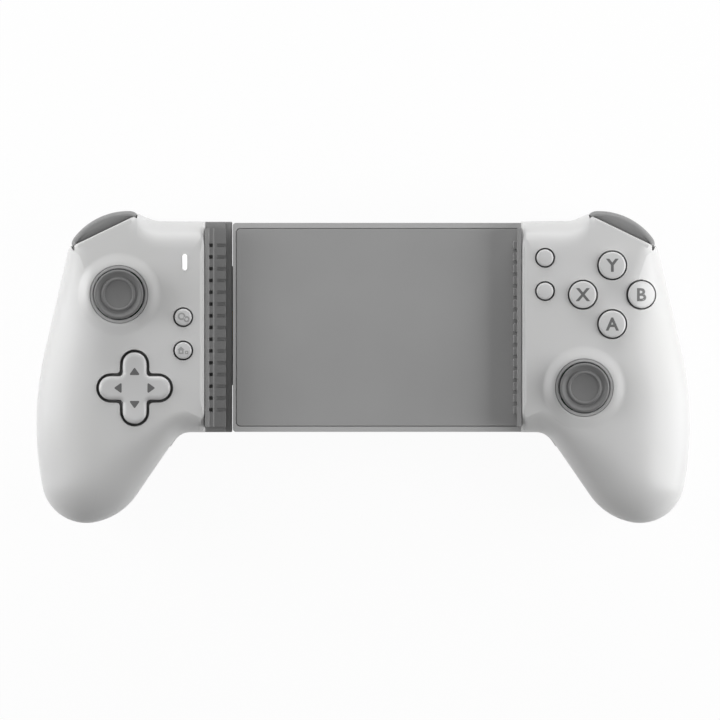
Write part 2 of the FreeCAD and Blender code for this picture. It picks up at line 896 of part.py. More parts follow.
def front_shell(flip, stick, openings):
    """A front shell. Flip makes the left one; stick is its stick's centre."""
    mirror = flipped if flip else (lambda shape: shape)
    base = size("part_z")
    outer = stacked([front_level(0, height=base)] + [front_level(turn) for turn in FRONT_TURNS])
    outer = outer.cut(far_side()).cut(wall_edge_tool())
    skin = size("wall")
    space = stacked([front_level(0, skin, base)] + [front_level(turn, skin) for turn in HOLLOW_TURNS])
    outer, space = mirror(outer), mirror(space)
    posts = [mirror(upright(spot, size("boss_radius"), size("part_z"), size("front_z")))
             for spot in boss_spots()]
    plate = upright(stick, size("dish_radius") + skin, size("dish_floor_z") - size("dish_plate"),
                    size("front_z"), WIDE_SIDES)
    hinge = Vector(size("hinge_along"), size("hinge_back"), 0)
    bearing = upright(hinge, size("lug_radius"), size("lug_high_z") + size("seat_gap"),
                      size("front_z"))
    bearing = bearing.cut(round_post(hinge, size("hinge_radius"), 0, size("hinge_top_z")))
    added = posts[0].fuse(posts[1:] + [plate]).common(outer)
    shell = outer.cut(space).fuse(added)
    shell = shell.cut(mirror(seated(bumper_pocket())))
    shell = shell.fuse(mirror(seated(bearing)))
    holes = [mirror(upright(spot, size("screw_radius") + size("screw_slack"), 0, size("screw_top_z")))
             for spot in boss_spots()]
    holes += [dish_tool(stick),
              upright(stick, size("stick_hole_radius"), 0, size("front_z"), WIDE_SIDES)]
    return shell.cut(holes + openings)


def rear_shell(flip, added, openings):
    """A rear shell with its palm swell and trigger bearing. Flip makes the left one."""
    mirror = flipped if flip else (lambda shape: shape)
    top = size("part_z")
    heights = [top * (1 - step / SWELL_STEPS) ** size("swell_spacing")
               for step in range(SWELL_STEPS + 1)]
    outer = stacked([rear_level(height) for height in heights]).cut(far_side())
    low = size("wall") + size("floor_extra")
    heights = [low + (top - low) * (1 - step / SWELL_HOLLOW_STEPS)
               for step in range(SWELL_HOLLOW_STEPS + 1)]
    space = stacked([rear_level(height, size("wall")) for height in heights])
    columns = [upright(spot, size("boss_radius") + size("seat_gap"), 0, top)
               for spot in boss_spots()]
    added = columns[0].fuse(columns[1:] + added).common(outer)
    shell = outer.cut(space).fuse(added)
    shell = shell.cut(seated(trigger_slots())).cut(seated(nose_shape(hollow=True)))
    nose = seated(nose_shape()).cut(seated(nose_shape(hollow=True)))
    shell = shell.fuse(nose)
    holes = [seated(nose_bore())]
    for spot in boss_spots():
        holes.append(upright(spot, size("screw_head_radius") + 2 * size("screw_slack"),
                             -size("spare"), size("screw_seat_z")))
        holes.append(upright(spot, size("screw_radius") + 2 * size("screw_slack"), 0,
                             top + size("spare")))
    return mirror(shell.cut(holes + openings))


def block_between(x_range, y_range, z_range):
    """A block between two values on each axis."""
    corner = Vector(min(x_range), min(y_range), min(z_range))
    return Part.makeBox(abs(x_range[1] - x_range[0]), abs(y_range[1] - y_range[0]),
                        abs(z_range[1] - z_range[0]), corner)


def slot_tool(x, y, width, length, low, high):
    """A round-ended slot that runs along Y."""
    reach = (length - width) / 2
    bar = block_between((x - width / 2, x + width / 2), (y - reach, y + reach), (low, high))
    ends = [upright(Vector(x, y + side * reach, 0), width / 2, low, high) for side in (-1, 1)]
    return bar.fuse(ends).removeSplitter()


def button_hole(x, y, radius):
    """A round hole through the front face, with room below it for the button's flange."""
    spot = Vector(x, y, 0)
    hole = upright(spot, radius + size("button_gap"), size("part_z"),
                   size("front_z") + size("spare"), SIDES)
    room = upright(spot, radius + size("button_flange") + size("seat_gap"), size("part_z"),
                   size("front_z") - size("wall"), SIDES)
    return hole.fuse(room)


# The steps from the middle of the four letter buttons to each of them.
ACTION_BUTTONS = {"y_button": (0, 1), "x_button": (-1, 0), "b_button": (1, 0), "a_button": (0, -1)}

right_stick = Vector(size("right_stick_x"), size("right_stick_y"), 0)
left_stick = Vector(size("left_stick_x"), size("left_stick_y"), 0)

right_holes = [button_hole(size("action_x") + step_x * size("action_pitch"),
                           size("action_y") + step_y * size("action_pitch"), size("action_radius"))
               for step_x, step_y in ACTION_BUTTONS.values()]
right_holes += [button_hole(size("menu_x"), size("menu_%s_y" % row), size("small_radius"))
                for row in ("upper", "lower")]
socket_gap = size("socket_gap")
board_top = size("board_z") + size("board_thick")
right_holes.append(block_between(
    (size("socket_x") - size("socket_width") / 2 - socket_gap,
     size("socket_x") + size("socket_width") / 2 + socket_gap),
    (size("top_y") - size("socket_length"), size("top_y") + size("spare")),
    (board_top - socket_gap, board_top + size("socket_height") + socket_gap)))

left_holes = [button_hole(size("function_x"), size("function_%s_y" % row), size("small_radius"))
              for row in ("upper", "lower")]
pad_hole = cross_shape(size("pad_span") + 2 * size("pad_gap"), size("pad_arm") + 2 * size("pad_gap"),
                       size("pad_corner"), size("part_z"), size("front_z") + size("spare"))
pad_hole.translate(Vector(size("pad_x"), size("pad_y"), 0))
left_holes.append(pad_hole)
left_holes.append(slot_tool(size("light_x"), size("light_y"), size("light_width"),
                            size("light_length"), size("part_z"),
                            size("front_z") + size("spare")))

node(formed(front_shell(False, right_stick, right_holes)), "right_front_shell")
node(formed(front_shell(True, left_stick, left_holes)), "left_front_shell")

cradles = [block_between((size("battery_x") + side * size("cradle_reach"),
                          size("battery_x") + side * (size("cradle_reach") + size("cradle_thick"))),
                         (size("battery_y") - size("battery_length") / 2,
                          size("battery_y") + size("battery_length") / 2),
                         (0, size("battery_z"))) for side in (-1, 1)]
tongue_middle = (size("tongue_low_y") + size("tongue_high_y")) / 2
spring_rows = [tongue_middle + side * size("spring_offset") for side in (-1, 1)]
posts = [upright(Vector(size("spring_post_x"), row, 0), size("spring_post_radius"), 0,
                 size("tongue_high_z")) for row in spring_rows]
gap = size("tongue_gap")
tenon_low = size("tongue_low_y") - size("lug_width") - gap - size("tenon_wall")
tenon_high = size("tongue_high_y") + size("lug_width") + gap + size("tenon_wall")
tenon_hole = block_between((size("wall_x") - size("spare"), size("tenon_x") + gap),
                           (tenon_low - gap, tenon_high + gap),
                           (size("tongue_low_z") - 3 * gap, size("part_z") + size("spare")))
node(formed(rear_shell(False, cradles + posts, [tenon_hole])), "right_rear_shell")

rests = [block_between((size("wall_x") + size("wall"), -size("tongue_root_x")),
                       (row - size("spring_radius"), row + size("spring_radius")),
                       (0, size("tongue_low_z"))) for row in spring_rows]
tongue_hole = block_between((size("wall_x") - size("spare"), gap - size("tongue_root_x")),
                            (size("tongue_low_y") - gap, size("tongue_high_y") + gap),
                            (size("tongue_low_z"), size("channel_top_z") + gap))
node(formed(rear_shell(True, rests, [tongue_hole])), "left_rear_shell")

bumper = node(formed(seated(bumper_shape())), "right_bumper")
node(mirrored(bumper), "left_bumper")
pin = round_post(Vector(size("hinge_along"), size("hinge_back"), 0), size("hinge_radius"),
                 size("lug_low_z") - size("pin_stub"), size("hinge_top_z"))
pin = node(formed(seated(pin)), "right_bumper_pin")
node(mirrored(pin), "left_bumper_pin")
trigger = node(formed(seated(trigger_shape())), "right_trigger")
node(mirrored(trigger), "left_trigger")
axle = along_axle(size("trigger_start") + size("axle_inset"),
                  size("trigger_end") - size("axle_inset"), size("axle_radius"))
axle = node(formed(seated(axle)), "right_trigger_pin")
node(mirrored(axle), "left_trigger_pin")
coil_start = (size("trigger_start") + size("trigger_end") - size("coil_length")) / 2
coil = along_axle(coil_start, coil_start + size("coil_length"), size("coil_radius"),
                  size("axle_radius") + size("axle_gap"))
coil = node(formed(seated(coil)), "right_trigger_spring")
node(mirrored(coil), "left_trigger_spring")

# Screws that hold each grip together: one solid each, all alike.


def grip_screws(flip):
    """The three screws of a grip."""
    mirror = flipped if flip else (lambda shape: shape)
    seat = size("screw_seat_z")
    screws = []
    for spot in boss_spots():
        head = upright(spot, size("screw_head_radius"), seat - size("screw_head_height"), seat)
        shank = upright(spot, size("screw_radius"), seat, size("screw_top_z"))
        screws.append(mirror(head.fuse(shank)))
    return Part.makeCompound(screws)


node(formed(grip_screws(False)), "right_grip_screws")
node(formed(grip_screws(True)), "left_grip_screws")

# Circuit boards: the outline of the grip, drawn in to clear its walls.


def board_shape(flip, stick, chips):
    """A circuit board with its chips and the switch under the stick."""
    mirror = flipped if flip else (lambda shape: shape)
    low = size("board_z")
    plate = flat_face(front_level(0, size("board_inset"), low))
    board = mirror(plate.extrude(Vector(0, 0, size("board_thick"))))
    radius = size("boss_radius") + 2 * size("seat_gap")
    board = board.cut([mirror(upright(spot, radius, 0, size("front_z"))) for spot in boss_spots()])
    top = low + size("board_thick")
    half = size("switch_half")
    switch = block_between((stick.x - half, stick.x + half), (stick.y - half, stick.y + half),
                           (top, top + size("switch_height")))
    parts = [switch]
    for x, y, width, length, height in chips:
        parts.append(block_between((x - width / 2, x + width / 2), (y - length / 2, y + length / 2),
                                   (top, top + height)))
    return board.fuse(parts)


right_chips = ((93.0, -8.0, 7.0, 7.0, 1.0), (88.0, -30.0, 5.0, 5.0, 0.9), (95.0, -24.0, 3.0, 6.0, 1.2))
left_chips = ((-92.0, -14.0, 7.0, 7.0, 1.0), (-84.0, -28.0, 4.0, 6.0, 0.9),
              (size("light_x"), size("light_y"), 1.6, 2.8, 1.4))
node(formed(board_shape(False, right_stick, right_chips)), "right_circuit_board")
node(formed(board_shape(True, left_stick, left_chips)), "left_circuit_board")

# Round buttons: a cap on a wider plug that the front face holds back.


def button(label, x, y, radius, top):
    """A round button: a cap on its wider plug."""
    shelf = "(front_z - wall - seat_gap)"
    plug = rod(x, y, "button_foot_z", "%s + button_flange" % radius, shelf + " - button_foot_z",
               sides=SIDES)
    cap = rod(x, y, shelf, radius, "%s - %s" % (top, shelf), sides=SIDES)
    return node(joined(plug, cap), label)


for name, (step_x, step_y) in ACTION_BUTTONS.items():
    button(name, "action_x + %d * action_pitch" % step_x, "action_y + %d * action_pitch" % step_y,
           "action_radius", "action_top_z")
for row in ("upper", "lower"):
    button("menu_button_" + row, "menu_x", "menu_%s_y" % row, "small_radius", "small_top_z")
    button("function_button_" + row, "function_x", "function_%s_y" % row, "small_radius",
           "small_top_z")

# Rubber sheets with a dome under each button.


def dome(x, y, radius):
    """One rubber dome, with free travel above it."""
    return rod(x, y, "board_z + board_thick", radius,
               "button_foot_z - button_travel - seat_gap - board_z - board_thick",
               sides=SMALL_SIDES)


def button_sheet(label, x, y, half_x, half_y, domes):
    """A rubber sheet behind a group of buttons, centred on them."""
    plate = box("%s - (%s)" % (x, half_x), "%s - (%s)" % (y, half_y), "board_z + board_thick",
                "2 * (%s)" % half_x, "2 * (%s)" % half_y, "sheet_thick")
    return node(joined(plate, *domes), label)


for name in ("menu", "function"):
    rows = [name + "_lower_y", name + "_upper_y"]
    button_sheet(name + "_button_rubber", name + "_x", "(%s + %s) / 2" % tuple(rows), "small_sheet",
                 "(%s - %s) / 2 + small_sheet" % (rows[1], rows[0]),
                 [dome(name + "_x", row, "small_radius") for row in rows])
action_domes = [dome("action_x + %d * action_pitch" % step_x, "action_y + %d * action_pitch" % step_y,
                     "action_radius * dome_share") for step_x, step_y in ACTION_BUTTONS.values()]
button_sheet("action_button_rubber", "action_x", "action_y", "action_pitch + small_radius",
             "action_pitch + small_radius", action_domes)

# Indicator light: a clear pipe from the lamp on the board to the front face.

pipe_low = board_top + size("light_lamp")
light_pipe = slot_tool(size("light_x"), size("light_y"), size("light_width") - 2 * size("light_gap"),
                       size("light_length") - 2 * size("light_gap"), pipe_low, size("front_z"))
collar_top = size("front_z") - size("wall") - size("collar_gap")
collar = slot_tool(size("light_x"), size("light_y"), size("light_width") + 2 * size("collar_width"),
                   size("light_length") + 2 * size("collar_width"),
                   collar_top - size("collar_height"), collar_top)
node(formed(light_pipe.fuse(collar)), "light_pipe")

# Direction pad: a dished cross that rocks on a rubber block.

edge, span, arm = size("pad_edge"), size("pad_span"), size("pad_arm")
pad = stacked([cross_loop(span, arm, size("pad_corner"), size("pad_skirt_z")),
               cross_loop(span, arm, size("pad_corner"), size("pad_top_z") - edge),
               cross_loop(span - 2 * edge, arm - 2 * edge, size("pad_corner") + edge,
                          size("pad_top_z"))])
flange = cross_shape(span + 2 * size("pad_flange"), arm + 2 * size("pad_flange"),
                     size("pad_corner"), size("pad_skirt_z"), size("pad_flange_top_z"))
hollow = spun(((0, size("pad_top_z") - size("pad_dish")), (span / 2, size("pad_top_z")),
               (span / 2, size("pad_top_z") + size("spare")),
               (0, size("pad_top_z") + size("spare"))))
post_room = upright(Vector(), size("pad_post_radius") + 2 * size("seat_gap"), 0, size("pad_pivot_z"))
pad = pad.fuse(flange).cut([hollow, post_room])
pad.translate(Vector(size("pad_x"), size("pad_y"), 0))
node(formed(pad), "direction_pad")

plate = rod("pad_x", "pad_y", "pad_rubber_base_z", "pad_rubber_radius",
            "pad_rubber_top_z - pad_rubber_base_z", sides=SIDES)
post = rod("pad_x", "pad_y", "pad_rubber_base_z", "pad_post_radius",
           "pad_pivot_z - seat_gap - pad_rubber_base_z", sides=SMALL_SIDES)
feet = [rod("pad_x + %d * pad_plunger_reach" % step_x, "pad_y + %d * pad_plunger_reach" % step_y,
            "pad_plunger_z", "pad_plunger_radius", "pad_rubber_base_z - pad_plunger_z",
            sides=SMALL_SIDES) for step_x, step_y in ACTION_BUTTONS.values()]
node(joined(plate, post, *feet), "direction_pad_rubber")

# Thumb sticks. Each has a can with two journals: a carrier turns in it from side to side,
# the pivot turns in the carrier up and down, and the arch follows the shaft's second tilt.


def ring_profile():
    """Half profile of the collar round a stick."""
    inner, outer, edge = size("ring_hole_radius"), size("ring_radius"), size("ring_edge")
    floor, top = size("dish_floor_z"), size("ring_top_z")
    return ((inner, floor), (outer, floor), (outer, top - edge), (outer - edge, top), (inner, top))


def stick_heights():
    """The top of the stick's dome, and the underside and the top of its cap."""
    crown = size("stick_z") + size("dome_radius")
    under = crown + size("cap_neck_height") + size("cap_under")
    return crown, under, under + size("cap_thick")


def cap_profile():
    """Half profile of the cap: neck, edge, groove, ridge, dish and the post's socket."""
    crown, under, top = stick_heights()
    radius, edge, post = size("cap_radius"), size("cap_edge"), size("post_radius")
    return ((post, crown), (size("cap_neck_radius"), crown),
            (size("cap_neck_radius"), under - size("cap_under")), (radius, under),
            (radius, top - edge), (radius - edge, top),
            (radius - size("cap_rim_width"), top - size("cap_groove_depth")),
            (size("cap_ridge_radius"), top - edge / 2), (0, top - size("cap_dish_depth")),
            (0, under + edge), (post, under + edge))


def shaft_profile():
    """Half profile of the shaft: foot, stem, the dome that closes the hole, and the post."""
    crown, under, top = stick_heights()
    centre, radius, post = size("stick_z"), size("shaft_radius"), size("post_radius")
    foot, edge = centre - size("shaft_foot"), size("shaft_foot_edge")
    inner = size("dome_radius") - size("dome_wall")
    spread = math.radians(size("dome_spread"))
    dome = [(reach * math.sin(turn), centre + reach * math.cos(turn))
            for reach, turn in ((inner, spread / 2), (inner, spread), (size("dome_radius"), spread),
                                (size("dome_radius"), spread / 2))]
    root = centre + inner * math.cos(math.asin(radius / inner)) - size("dome_wall") / 2
    return ([(0, foot), (radius - edge, foot), (radius, foot + edge), (radius, root)] + dome
            + [(post, crown), (post, under + size("cap_edge")), (0, under + size("cap_edge"))])


def thumb_stick(side, outward):
    """All pieces of one stick. Outward is the side that its sensor faces, 1 or -1."""
    x, y, z = side + "_stick_x", side + "_stick_y", "stick_z"
    for profile, label in ((ring_profile(), "ring"), (cap_profile(), "cap"),
                           (shaft_profile(), "shaft")):
        piece = spun(profile, WIDE_SIDES)
        piece.translate(Vector(size(x), size(y), 0))
        node(formed(piece), "%s_stick_%s" % (side, label))

    def block(half_x, half_y, low, high):
        """A block centred on the stick, between two heights from its centre."""
        return box("%s - (%s)" % (x, half_x), "%s - (%s)" % (y, half_y), "%s + (%s)" % (z, low),
                   "2 * (%s)" % half_x, "2 * (%s)" % half_y, "(%s) - (%s)" % (high, low))

    def bar(along, half, radius, sides=0):
        """A bar through the stick's centre along X or Y."""
        start_x = "%s - (%s)" % (x, half) if along == "x" else x
        start_y = "%s - (%s)" % (y, half) if along == "y" else y
        return rod(start_x, start_y, z, radius, "2 * (%s)" % half, along, sides)

    journal_hole = "journal_radius + 2 * journal_gap"
    tip = "can_half - journal_gap * 4"
    can = carved(block("can_half", "can_half", "-can_drop", "can_rise"),
                 block("can_half - can_wall", "can_half - can_wall", "-can_drop", "can_rise"),
                 bar("x", "can_half + spare", journal_hole, SIDES),
                 bar("y", "can_half + spare", journal_hole, SIDES))
    sensor_x = box("%s + %s" % (x, "can_half" if outward > 0 else "(-can_half - sensor_thick)"),
                   "%s - sensor_half" % y, "%s - can_drop" % z, "sensor_thick", "2 * sensor_half",
                   "can_drop + can_rise")
    sensor_y = box("%s - sensor_half" % x, "%s - can_half - sensor_thick" % y, "%s - can_drop" % z,
                   "2 * sensor_half", "sensor_thick", "can_drop + can_rise")
    node(joined(can, sensor_x, sensor_y), side + "_stick_housing")
    carrier = carved(joined(block("carrier_half_x", "carrier_half_y", "-carrier_half_z",
                                  "carrier_half_z"), bar("y", tip, "journal_radius")),
                     block("carrier_window_x", "carrier_window_y", "-2 * carrier_half_z",
                           "2 * carrier_half_z"),
                     bar("x", "carrier_half_x + spare", "pivot_pin_radius + 2 * journal_gap",
                         SIDES))
    node(carrier, side + "_stick_carrier")
    pivot = carved(joined(block("pivot_half_x", "pivot_half_y", "-pivot_half_z", "pivot_half_z"),
                          bar("x", "carrier_half_x - journal_gap * 4", "pivot_pin_radius")),
                   rod(x, y, "%s - 2 * pivot_half_z" % z, "shaft_radius + 2 * journal_gap",
                       "4 * pivot_half_z", sides=SIDES))
    node(pivot, side + "_stick_pivot")
    arch = carved(joined(block("arch_outer_x", "arch_half_y", "-carrier_half_z", "arch_over"),
                         bar("x", tip, "journal_radius")),
                  block("arch_inner_x", "arch_half_y + spare", "-2 * carrier_half_z", "arch_under"),
                  block("arch_slot_reach", "arch_slot_half", "0", "arch_over + spare"))
    node(arch, side + "_stick_arch")


thumb_stick("right", 1)
thumb_stick("left", -1)

# Bridge: a case that the phone lies on, its cover, its mat, and the sliding arm inside.

length = "wall_x - bridge_left_x"
width = "bridge_high_y - bridge_low_y"
cover_top = "bridge_back_z + cover_thick"
case = box("bridge_left_x", "bridge_low_y", cover_top, length, width,
           "floor_z - bridge_back_z - cover_thick")
tenon = box("wall_x", "tongue_low_y - lug_width - tongue_gap - tenon_wall",
            cover_top + " + tongue_gap", "tenon_x - wall_x",
            "tongue_high_y - tongue_low_y + 2 * (lug_width + tongue_gap + tenon_wall)",
            "part_z - tongue_gap * 1.5 - (" + cover_top + " + tongue_gap)")
mat_room = box("bridge_left_x + frame_left", "bridge_low_y + frame_side", "floor_z - mat_thick",
               length, "%s - 2 * frame_side" % width, "mat_thick + spare")
narrow = box("bridge_left_x - spare", "tongue_low_y - tongue_gap", cover_top + " - spare",
             "tenon_x - bridge_left_x + 2 * spare",
             "tongue_high_y - tongue_low_y + 2 * tongue_gap",
             "channel_top_z - (%s) + spare" % cover_top)
wide = box("stop_x", "tongue_low_y - lug_width - tongue_gap", cover_top + " - spare",
           "tenon_x - stop_x + spare",
           "tongue_high_y - tongue_low_y + 2 * (lug_width + tongue_gap)",
           "channel_top_z - (%s) + spare" % cover_top)
pocket_top = "floor_z - mat_thick - bridge_roof"
low_pocket = box("bridge_left_x + bridge_wall", "bridge_low_y + bridge_wall",
                 cover_top + " - spare",
                 "%s - 2 * bridge_wall" % length,
                 "tongue_low_y - lug_width - bridge_wall - (bridge_low_y + bridge_wall)",
                 "%s - (%s) + spare" % (pocket_top, cover_top))
high_pocket = box("bridge_left_x + bridge_wall", "tongue_high_y + lug_width + bridge_wall",
                  cover_top + " - spare", "%s - 2 * bridge_wall" % length,
                  "bridge_high_y - bridge_wall - (tongue_high_y + lug_width + bridge_wall)",
                  "%s - (%s) + spare" % (pocket_top, cover_top))
COVER_SCREWS = tuple((x, y) for x in ("bridge_left_x + cover_screw_in", "wall_x - cover_screw_in")
                     for y in ("bridge_low_y + cover_screw_side", "bridge_high_y - cover_screw_side"))
bosses = [rod(x, y, cover_top, "boss_radius", "%s - (%s)" % (pocket_top, cover_top),
              sides=SMALL_SIDES) for x, y in COVER_SCREWS]
pilots = [rod(x, y, cover_top + " - spare", "screw_radius + screw_slack", "cover_screw_length",
              sides=SMALL_SIDES) for x, y in COVER_SCREWS]
hollow_case = carved(joined(case, tenon), mat_room, narrow, wide, low_pocket, high_pocket)
node(carved(joined(hollow_case, *bosses), *pilots), "bridge_case")

cover = padded((("bridge_left_x", "bridge_low_y"), ("wall_x", "bridge_low_y"),
                ("wall_x", "bridge_high_y"), ("bridge_left_x", "bridge_high_y")),
               "cover_thick", z="bridge_back_z")
screw_holes = [rod(x, y, "bridge_back_z - spare", "screw_radius + screw_slack",
                   "cover_thick + 2 * spare", sides=SMALL_SIDES) for x, y in COVER_SCREWS]
head_holes = [rod(x, y, "bridge_back_z - spare", "screw_head_radius + screw_slack",
                  "spare + cover_head_depth", sides=SMALL_SIDES) for x, y in COVER_SCREWS]
node(carved(cover, *screw_holes, *head_holes), "bridge_rear_cover")


def group(things, label):
    """Several alike solids as one sub-part."""
    whole = doc.addObject("Part::Compound", "group")
    whole.Links = things
    return node(whole, label)


group([joined(rod(x, y, "bridge_back_z", "screw_head_radius", "cover_head_depth",
                  sides=SMALL_SIDES),
              rod(x, y, "bridge_back_z", "screw_radius",
                  "cover_thick + cover_screw_length - spare - tongue_gap", sides=SMALL_SIDES))
       for x, y in COVER_SCREWS], "bridge_screws")

mat = padded((("bridge_left_x + frame_left + mat_gap", "bridge_low_y + frame_side + mat_gap"),
              ("wall_x - mat_gap", "bridge_low_y + frame_side + mat_gap"),
              ("wall_x - mat_gap", "bridge_high_y - frame_side - mat_gap"),
              ("bridge_left_x + frame_left + mat_gap", "bridge_high_y - frame_side - mat_gap")),
             "mat_thick", z="floor_z - mat_thick")
node(mat, "bridge_mat")

ledge = box("-wall_x", "heel_y", "bridge_back_z", "ledge_x + wall_x", "top_y - heel_y",
            "ledge_top_z - bridge_back_z")
step = box("ledge_x - ledge_step", "heel_y - spare", "ledge_top_z - ledge_step_drop",
           "ledge_step + spare", "top_y - heel_y + 2 * spare", "ledge_step_drop + spare")
tongue = box("tongue_root_x", "tongue_low_y", "tongue_low_z", "tongue_end_x - tongue_root_x",
             "tongue_high_y - tongue_low_y", "tongue_high_z - tongue_low_z")
lugs = box("tongue_end_x - lug_length", "tongue_low_y - lug_width", "tongue_low_z", "lug_length",
           "tongue_high_y - tongue_low_y + 2 * lug_width", "tongue_high_z - tongue_low_z")
middle_y = "(tongue_low_y + tongue_high_y) / 2"
spring_slots = [box("slot_start_x", "%s %s spring_offset - slot_width / 2" % (middle_y, sign),
                    "tongue_low_z - spare", "tongue_end_x - slot_start_x + spare", "slot_width",
                    "tongue_high_z - tongue_low_z + 2 * spare") for sign in "-+"]
ribbon_slot = box("-wall_x - spare", "%s - ribbon_width / 2 - tongue_gap" % middle_y,
                  "tongue_high_z", "ledge_x + wall_x + 2 * spare", "ribbon_width + 2 * tongue_gap",
                  "channel_top_z - tongue_high_z")
node(carved(joined(ledge, tongue, lugs), step, *spring_slots, ribbon_slot), "sliding_arm")

group([rod("slot_start_x", "%s %s spring_offset" % (middle_y, sign),
           "(tongue_low_z + tongue_high_z) / 2", "spring_radius",
           "spring_post_x - spring_post_radius - slot_start_x", "x", SMALL_SIDES)
       for sign in "-+"], "arm_springs")

ribbon_low = "tongue_high_z + ribbon_gap"
flat = box("tongue_root_x + ribbon_end", "%s - ribbon_width / 2" % middle_y, ribbon_low,
           "ribbon_end_x - tongue_root_x - ribbon_end", "ribbon_width", "ribbon_thick")
riser = [box(x, "%s - ribbon_width / 2" % middle_y, ribbon_low, "ribbon_thick", "ribbon_width",
             "board_z - (%s)" % ribbon_low)
         for x in ("tongue_root_x + ribbon_end", "ribbon_end_x - ribbon_thick")]
node(joined(flat, *riser), "flat_cable")

# Ribbed rubber pads at the two ends of the phone.


def groove_rows():
    """The middle of every groove, counted from the middle of the pad."""
    count = int(size("rib_count"))
    return ["(pad_low_y + pad_high_y) / 2 + %s * rib_pitch" % (number - (count - 1) / 2)
            for number in range(count)]


base = box("-wall_x", "pad_low_y", "ledge_top_z", "ledge_x - ledge_step + wall_x",
           "pad_high_y - pad_low_y", "pad_skin")
wall_pad = box("-wall_x", "pad_low_y", "ledge_top_z", "pad_skin", "pad_high_y - pad_low_y",
               "pad_wall_top_z - ledge_top_z")
floor_cuts = [box("ledge_x - ledge_step - groove_reach", "%s - groove_width / 2" % row,
                  "ledge_top_z + pad_skin - groove_depth", "groove_reach + spare",
                  "groove_width", "groove_depth + spare") for row in groove_rows()]
wall_cuts = [box("-wall_x + pad_skin - groove_depth", "%s - groove_width / 2" % row,
                 "ledge_top_z + pad_skin", "groove_depth + spare", "groove_width",
                 "pad_wall_top_z - ledge_top_z - pad_skin - groove_width") for row in groove_rows()]
node(carved(joined(base, wall_pad), *floor_cuts, *wall_cuts), "left_phone_pad")

backing = box("wall_x - pad_skin", "pad_low_y", "floor_z + mat_gap", "pad_skin",
              "pad_high_y - pad_low_y", "pad_wall_top_z - floor_z - mat_gap")
ribs = [box("wall_x - pad_skin - right_rib", "%s - (rib_pitch - groove_width) / 2" % row,
            "floor_z + mat_gap", "right_rib + pad_skin / 2", "rib_pitch - groove_width",
            "pad_wall_top_z - floor_z - mat_gap - right_rib") for row in groove_rows()]
node(joined(backing, *ribs), "right_phone_pad")

# Battery and charging socket.

node(box("battery_x - battery_width / 2", "battery_y - battery_length / 2", "battery_z",
         "battery_width", "battery_length", "battery_height"), "battery")

socket_z = "board_z + board_thick"
socket = box("socket_x - socket_width / 2", "top_y - socket_length", socket_z, "socket_width",
             "socket_length", "socket_height")
mouth = box("socket_x - socket_width / 2 + socket_wall", "top_y - socket_length + spare",
            socket_z + " + socket_wall", "socket_width - 2 * socket_wall", "socket_length",
            "socket_height - 2 * socket_wall")
blade = box("socket_x - socket_width / 3", "top_y - socket_length + socket_wall",
            socket_z + " + socket_height / 2 - socket_tongue / 2", "socket_width * 2 / 3",
            "socket_length - 2 * spare", "socket_tongue")
node(joined(carved(socket, mouth), blade), "charging_socket")

doc.recompute()
for thing in doc.Objects:
    for state in ("Invalid", "Error"):
        if state in thing.State:
            raise RuntimeError("%s (%s) is %s" % (thing.Name, thing.Label, state))
for thing in NODES:
    if thing.Shape.isNull() or not thing.Shape.isValid():
        raise RuntimeError("%s has no valid shape" % thing.Label)
    if thing.Label in [other.Label for other in NODES if other is not thing]:
        raise RuntimeError("two sub-parts are called %s" % thing.Label)

os.makedirs("parts", exist_ok=True)
for thing in NODES:
    thing.Shape.exportStep("parts/%s.step" % thing.Label)
    print("%-28s %d solids, volume %.1f" % (thing.Label, len(thing.Shape.Solids), thing.Shape.Volume))
print("%d sub-parts written" % len(NODES))
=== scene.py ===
# %% [markdown]
# # A gamepad that clamps round a phone
# The real object is two white moulded grips on a grey sliding bridge. Blender dresses the packed
# model here: each visible piece is worked out again as a smooth surface and rides on the body
# that moves it. Every length below is in millimetres until a mesh is made, and +Z comes out of
# the front face, so the part lies on its back on the floor at zero.

# %% Load the frame
import math

import bmesh
import bpy
import numpy as np
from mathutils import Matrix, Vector


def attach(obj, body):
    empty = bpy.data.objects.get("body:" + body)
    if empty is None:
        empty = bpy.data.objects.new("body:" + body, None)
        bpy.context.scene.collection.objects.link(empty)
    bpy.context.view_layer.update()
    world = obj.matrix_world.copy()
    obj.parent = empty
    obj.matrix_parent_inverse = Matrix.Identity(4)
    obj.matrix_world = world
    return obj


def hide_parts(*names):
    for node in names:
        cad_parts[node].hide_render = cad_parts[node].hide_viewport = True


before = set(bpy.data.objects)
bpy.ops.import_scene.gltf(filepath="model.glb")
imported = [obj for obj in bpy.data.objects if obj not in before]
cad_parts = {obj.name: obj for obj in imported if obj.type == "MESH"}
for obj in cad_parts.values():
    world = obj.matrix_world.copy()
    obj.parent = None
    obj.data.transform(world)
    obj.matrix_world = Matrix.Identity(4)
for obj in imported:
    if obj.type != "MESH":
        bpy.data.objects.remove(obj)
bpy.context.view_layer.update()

MM = 0.001

# %% [markdown]
# ## The camera
# The photograph looks straight down on the front face from far away, so its lines hardly
# converge. An orthographic camera would come close, but a long lens from four metres keeps the
# little depth that there is. Three pixels of a 720 pixel image cover one millimetre.

# %% Camera
VIEW_WIDTH, VIEW_CENTRE = 240.0, (-1.07, 2.33)
FRONT_Z, CAMERA_Z, SENSOR_MM = 46.0, 4046.0, 36.0


def placed(name, data):
    """A new object in the scene for a mesh, curve, lamp or camera."""
    made = bpy.data.objects.new(name, data)
    bpy.context.scene.collection.objects.link(made)
    return made


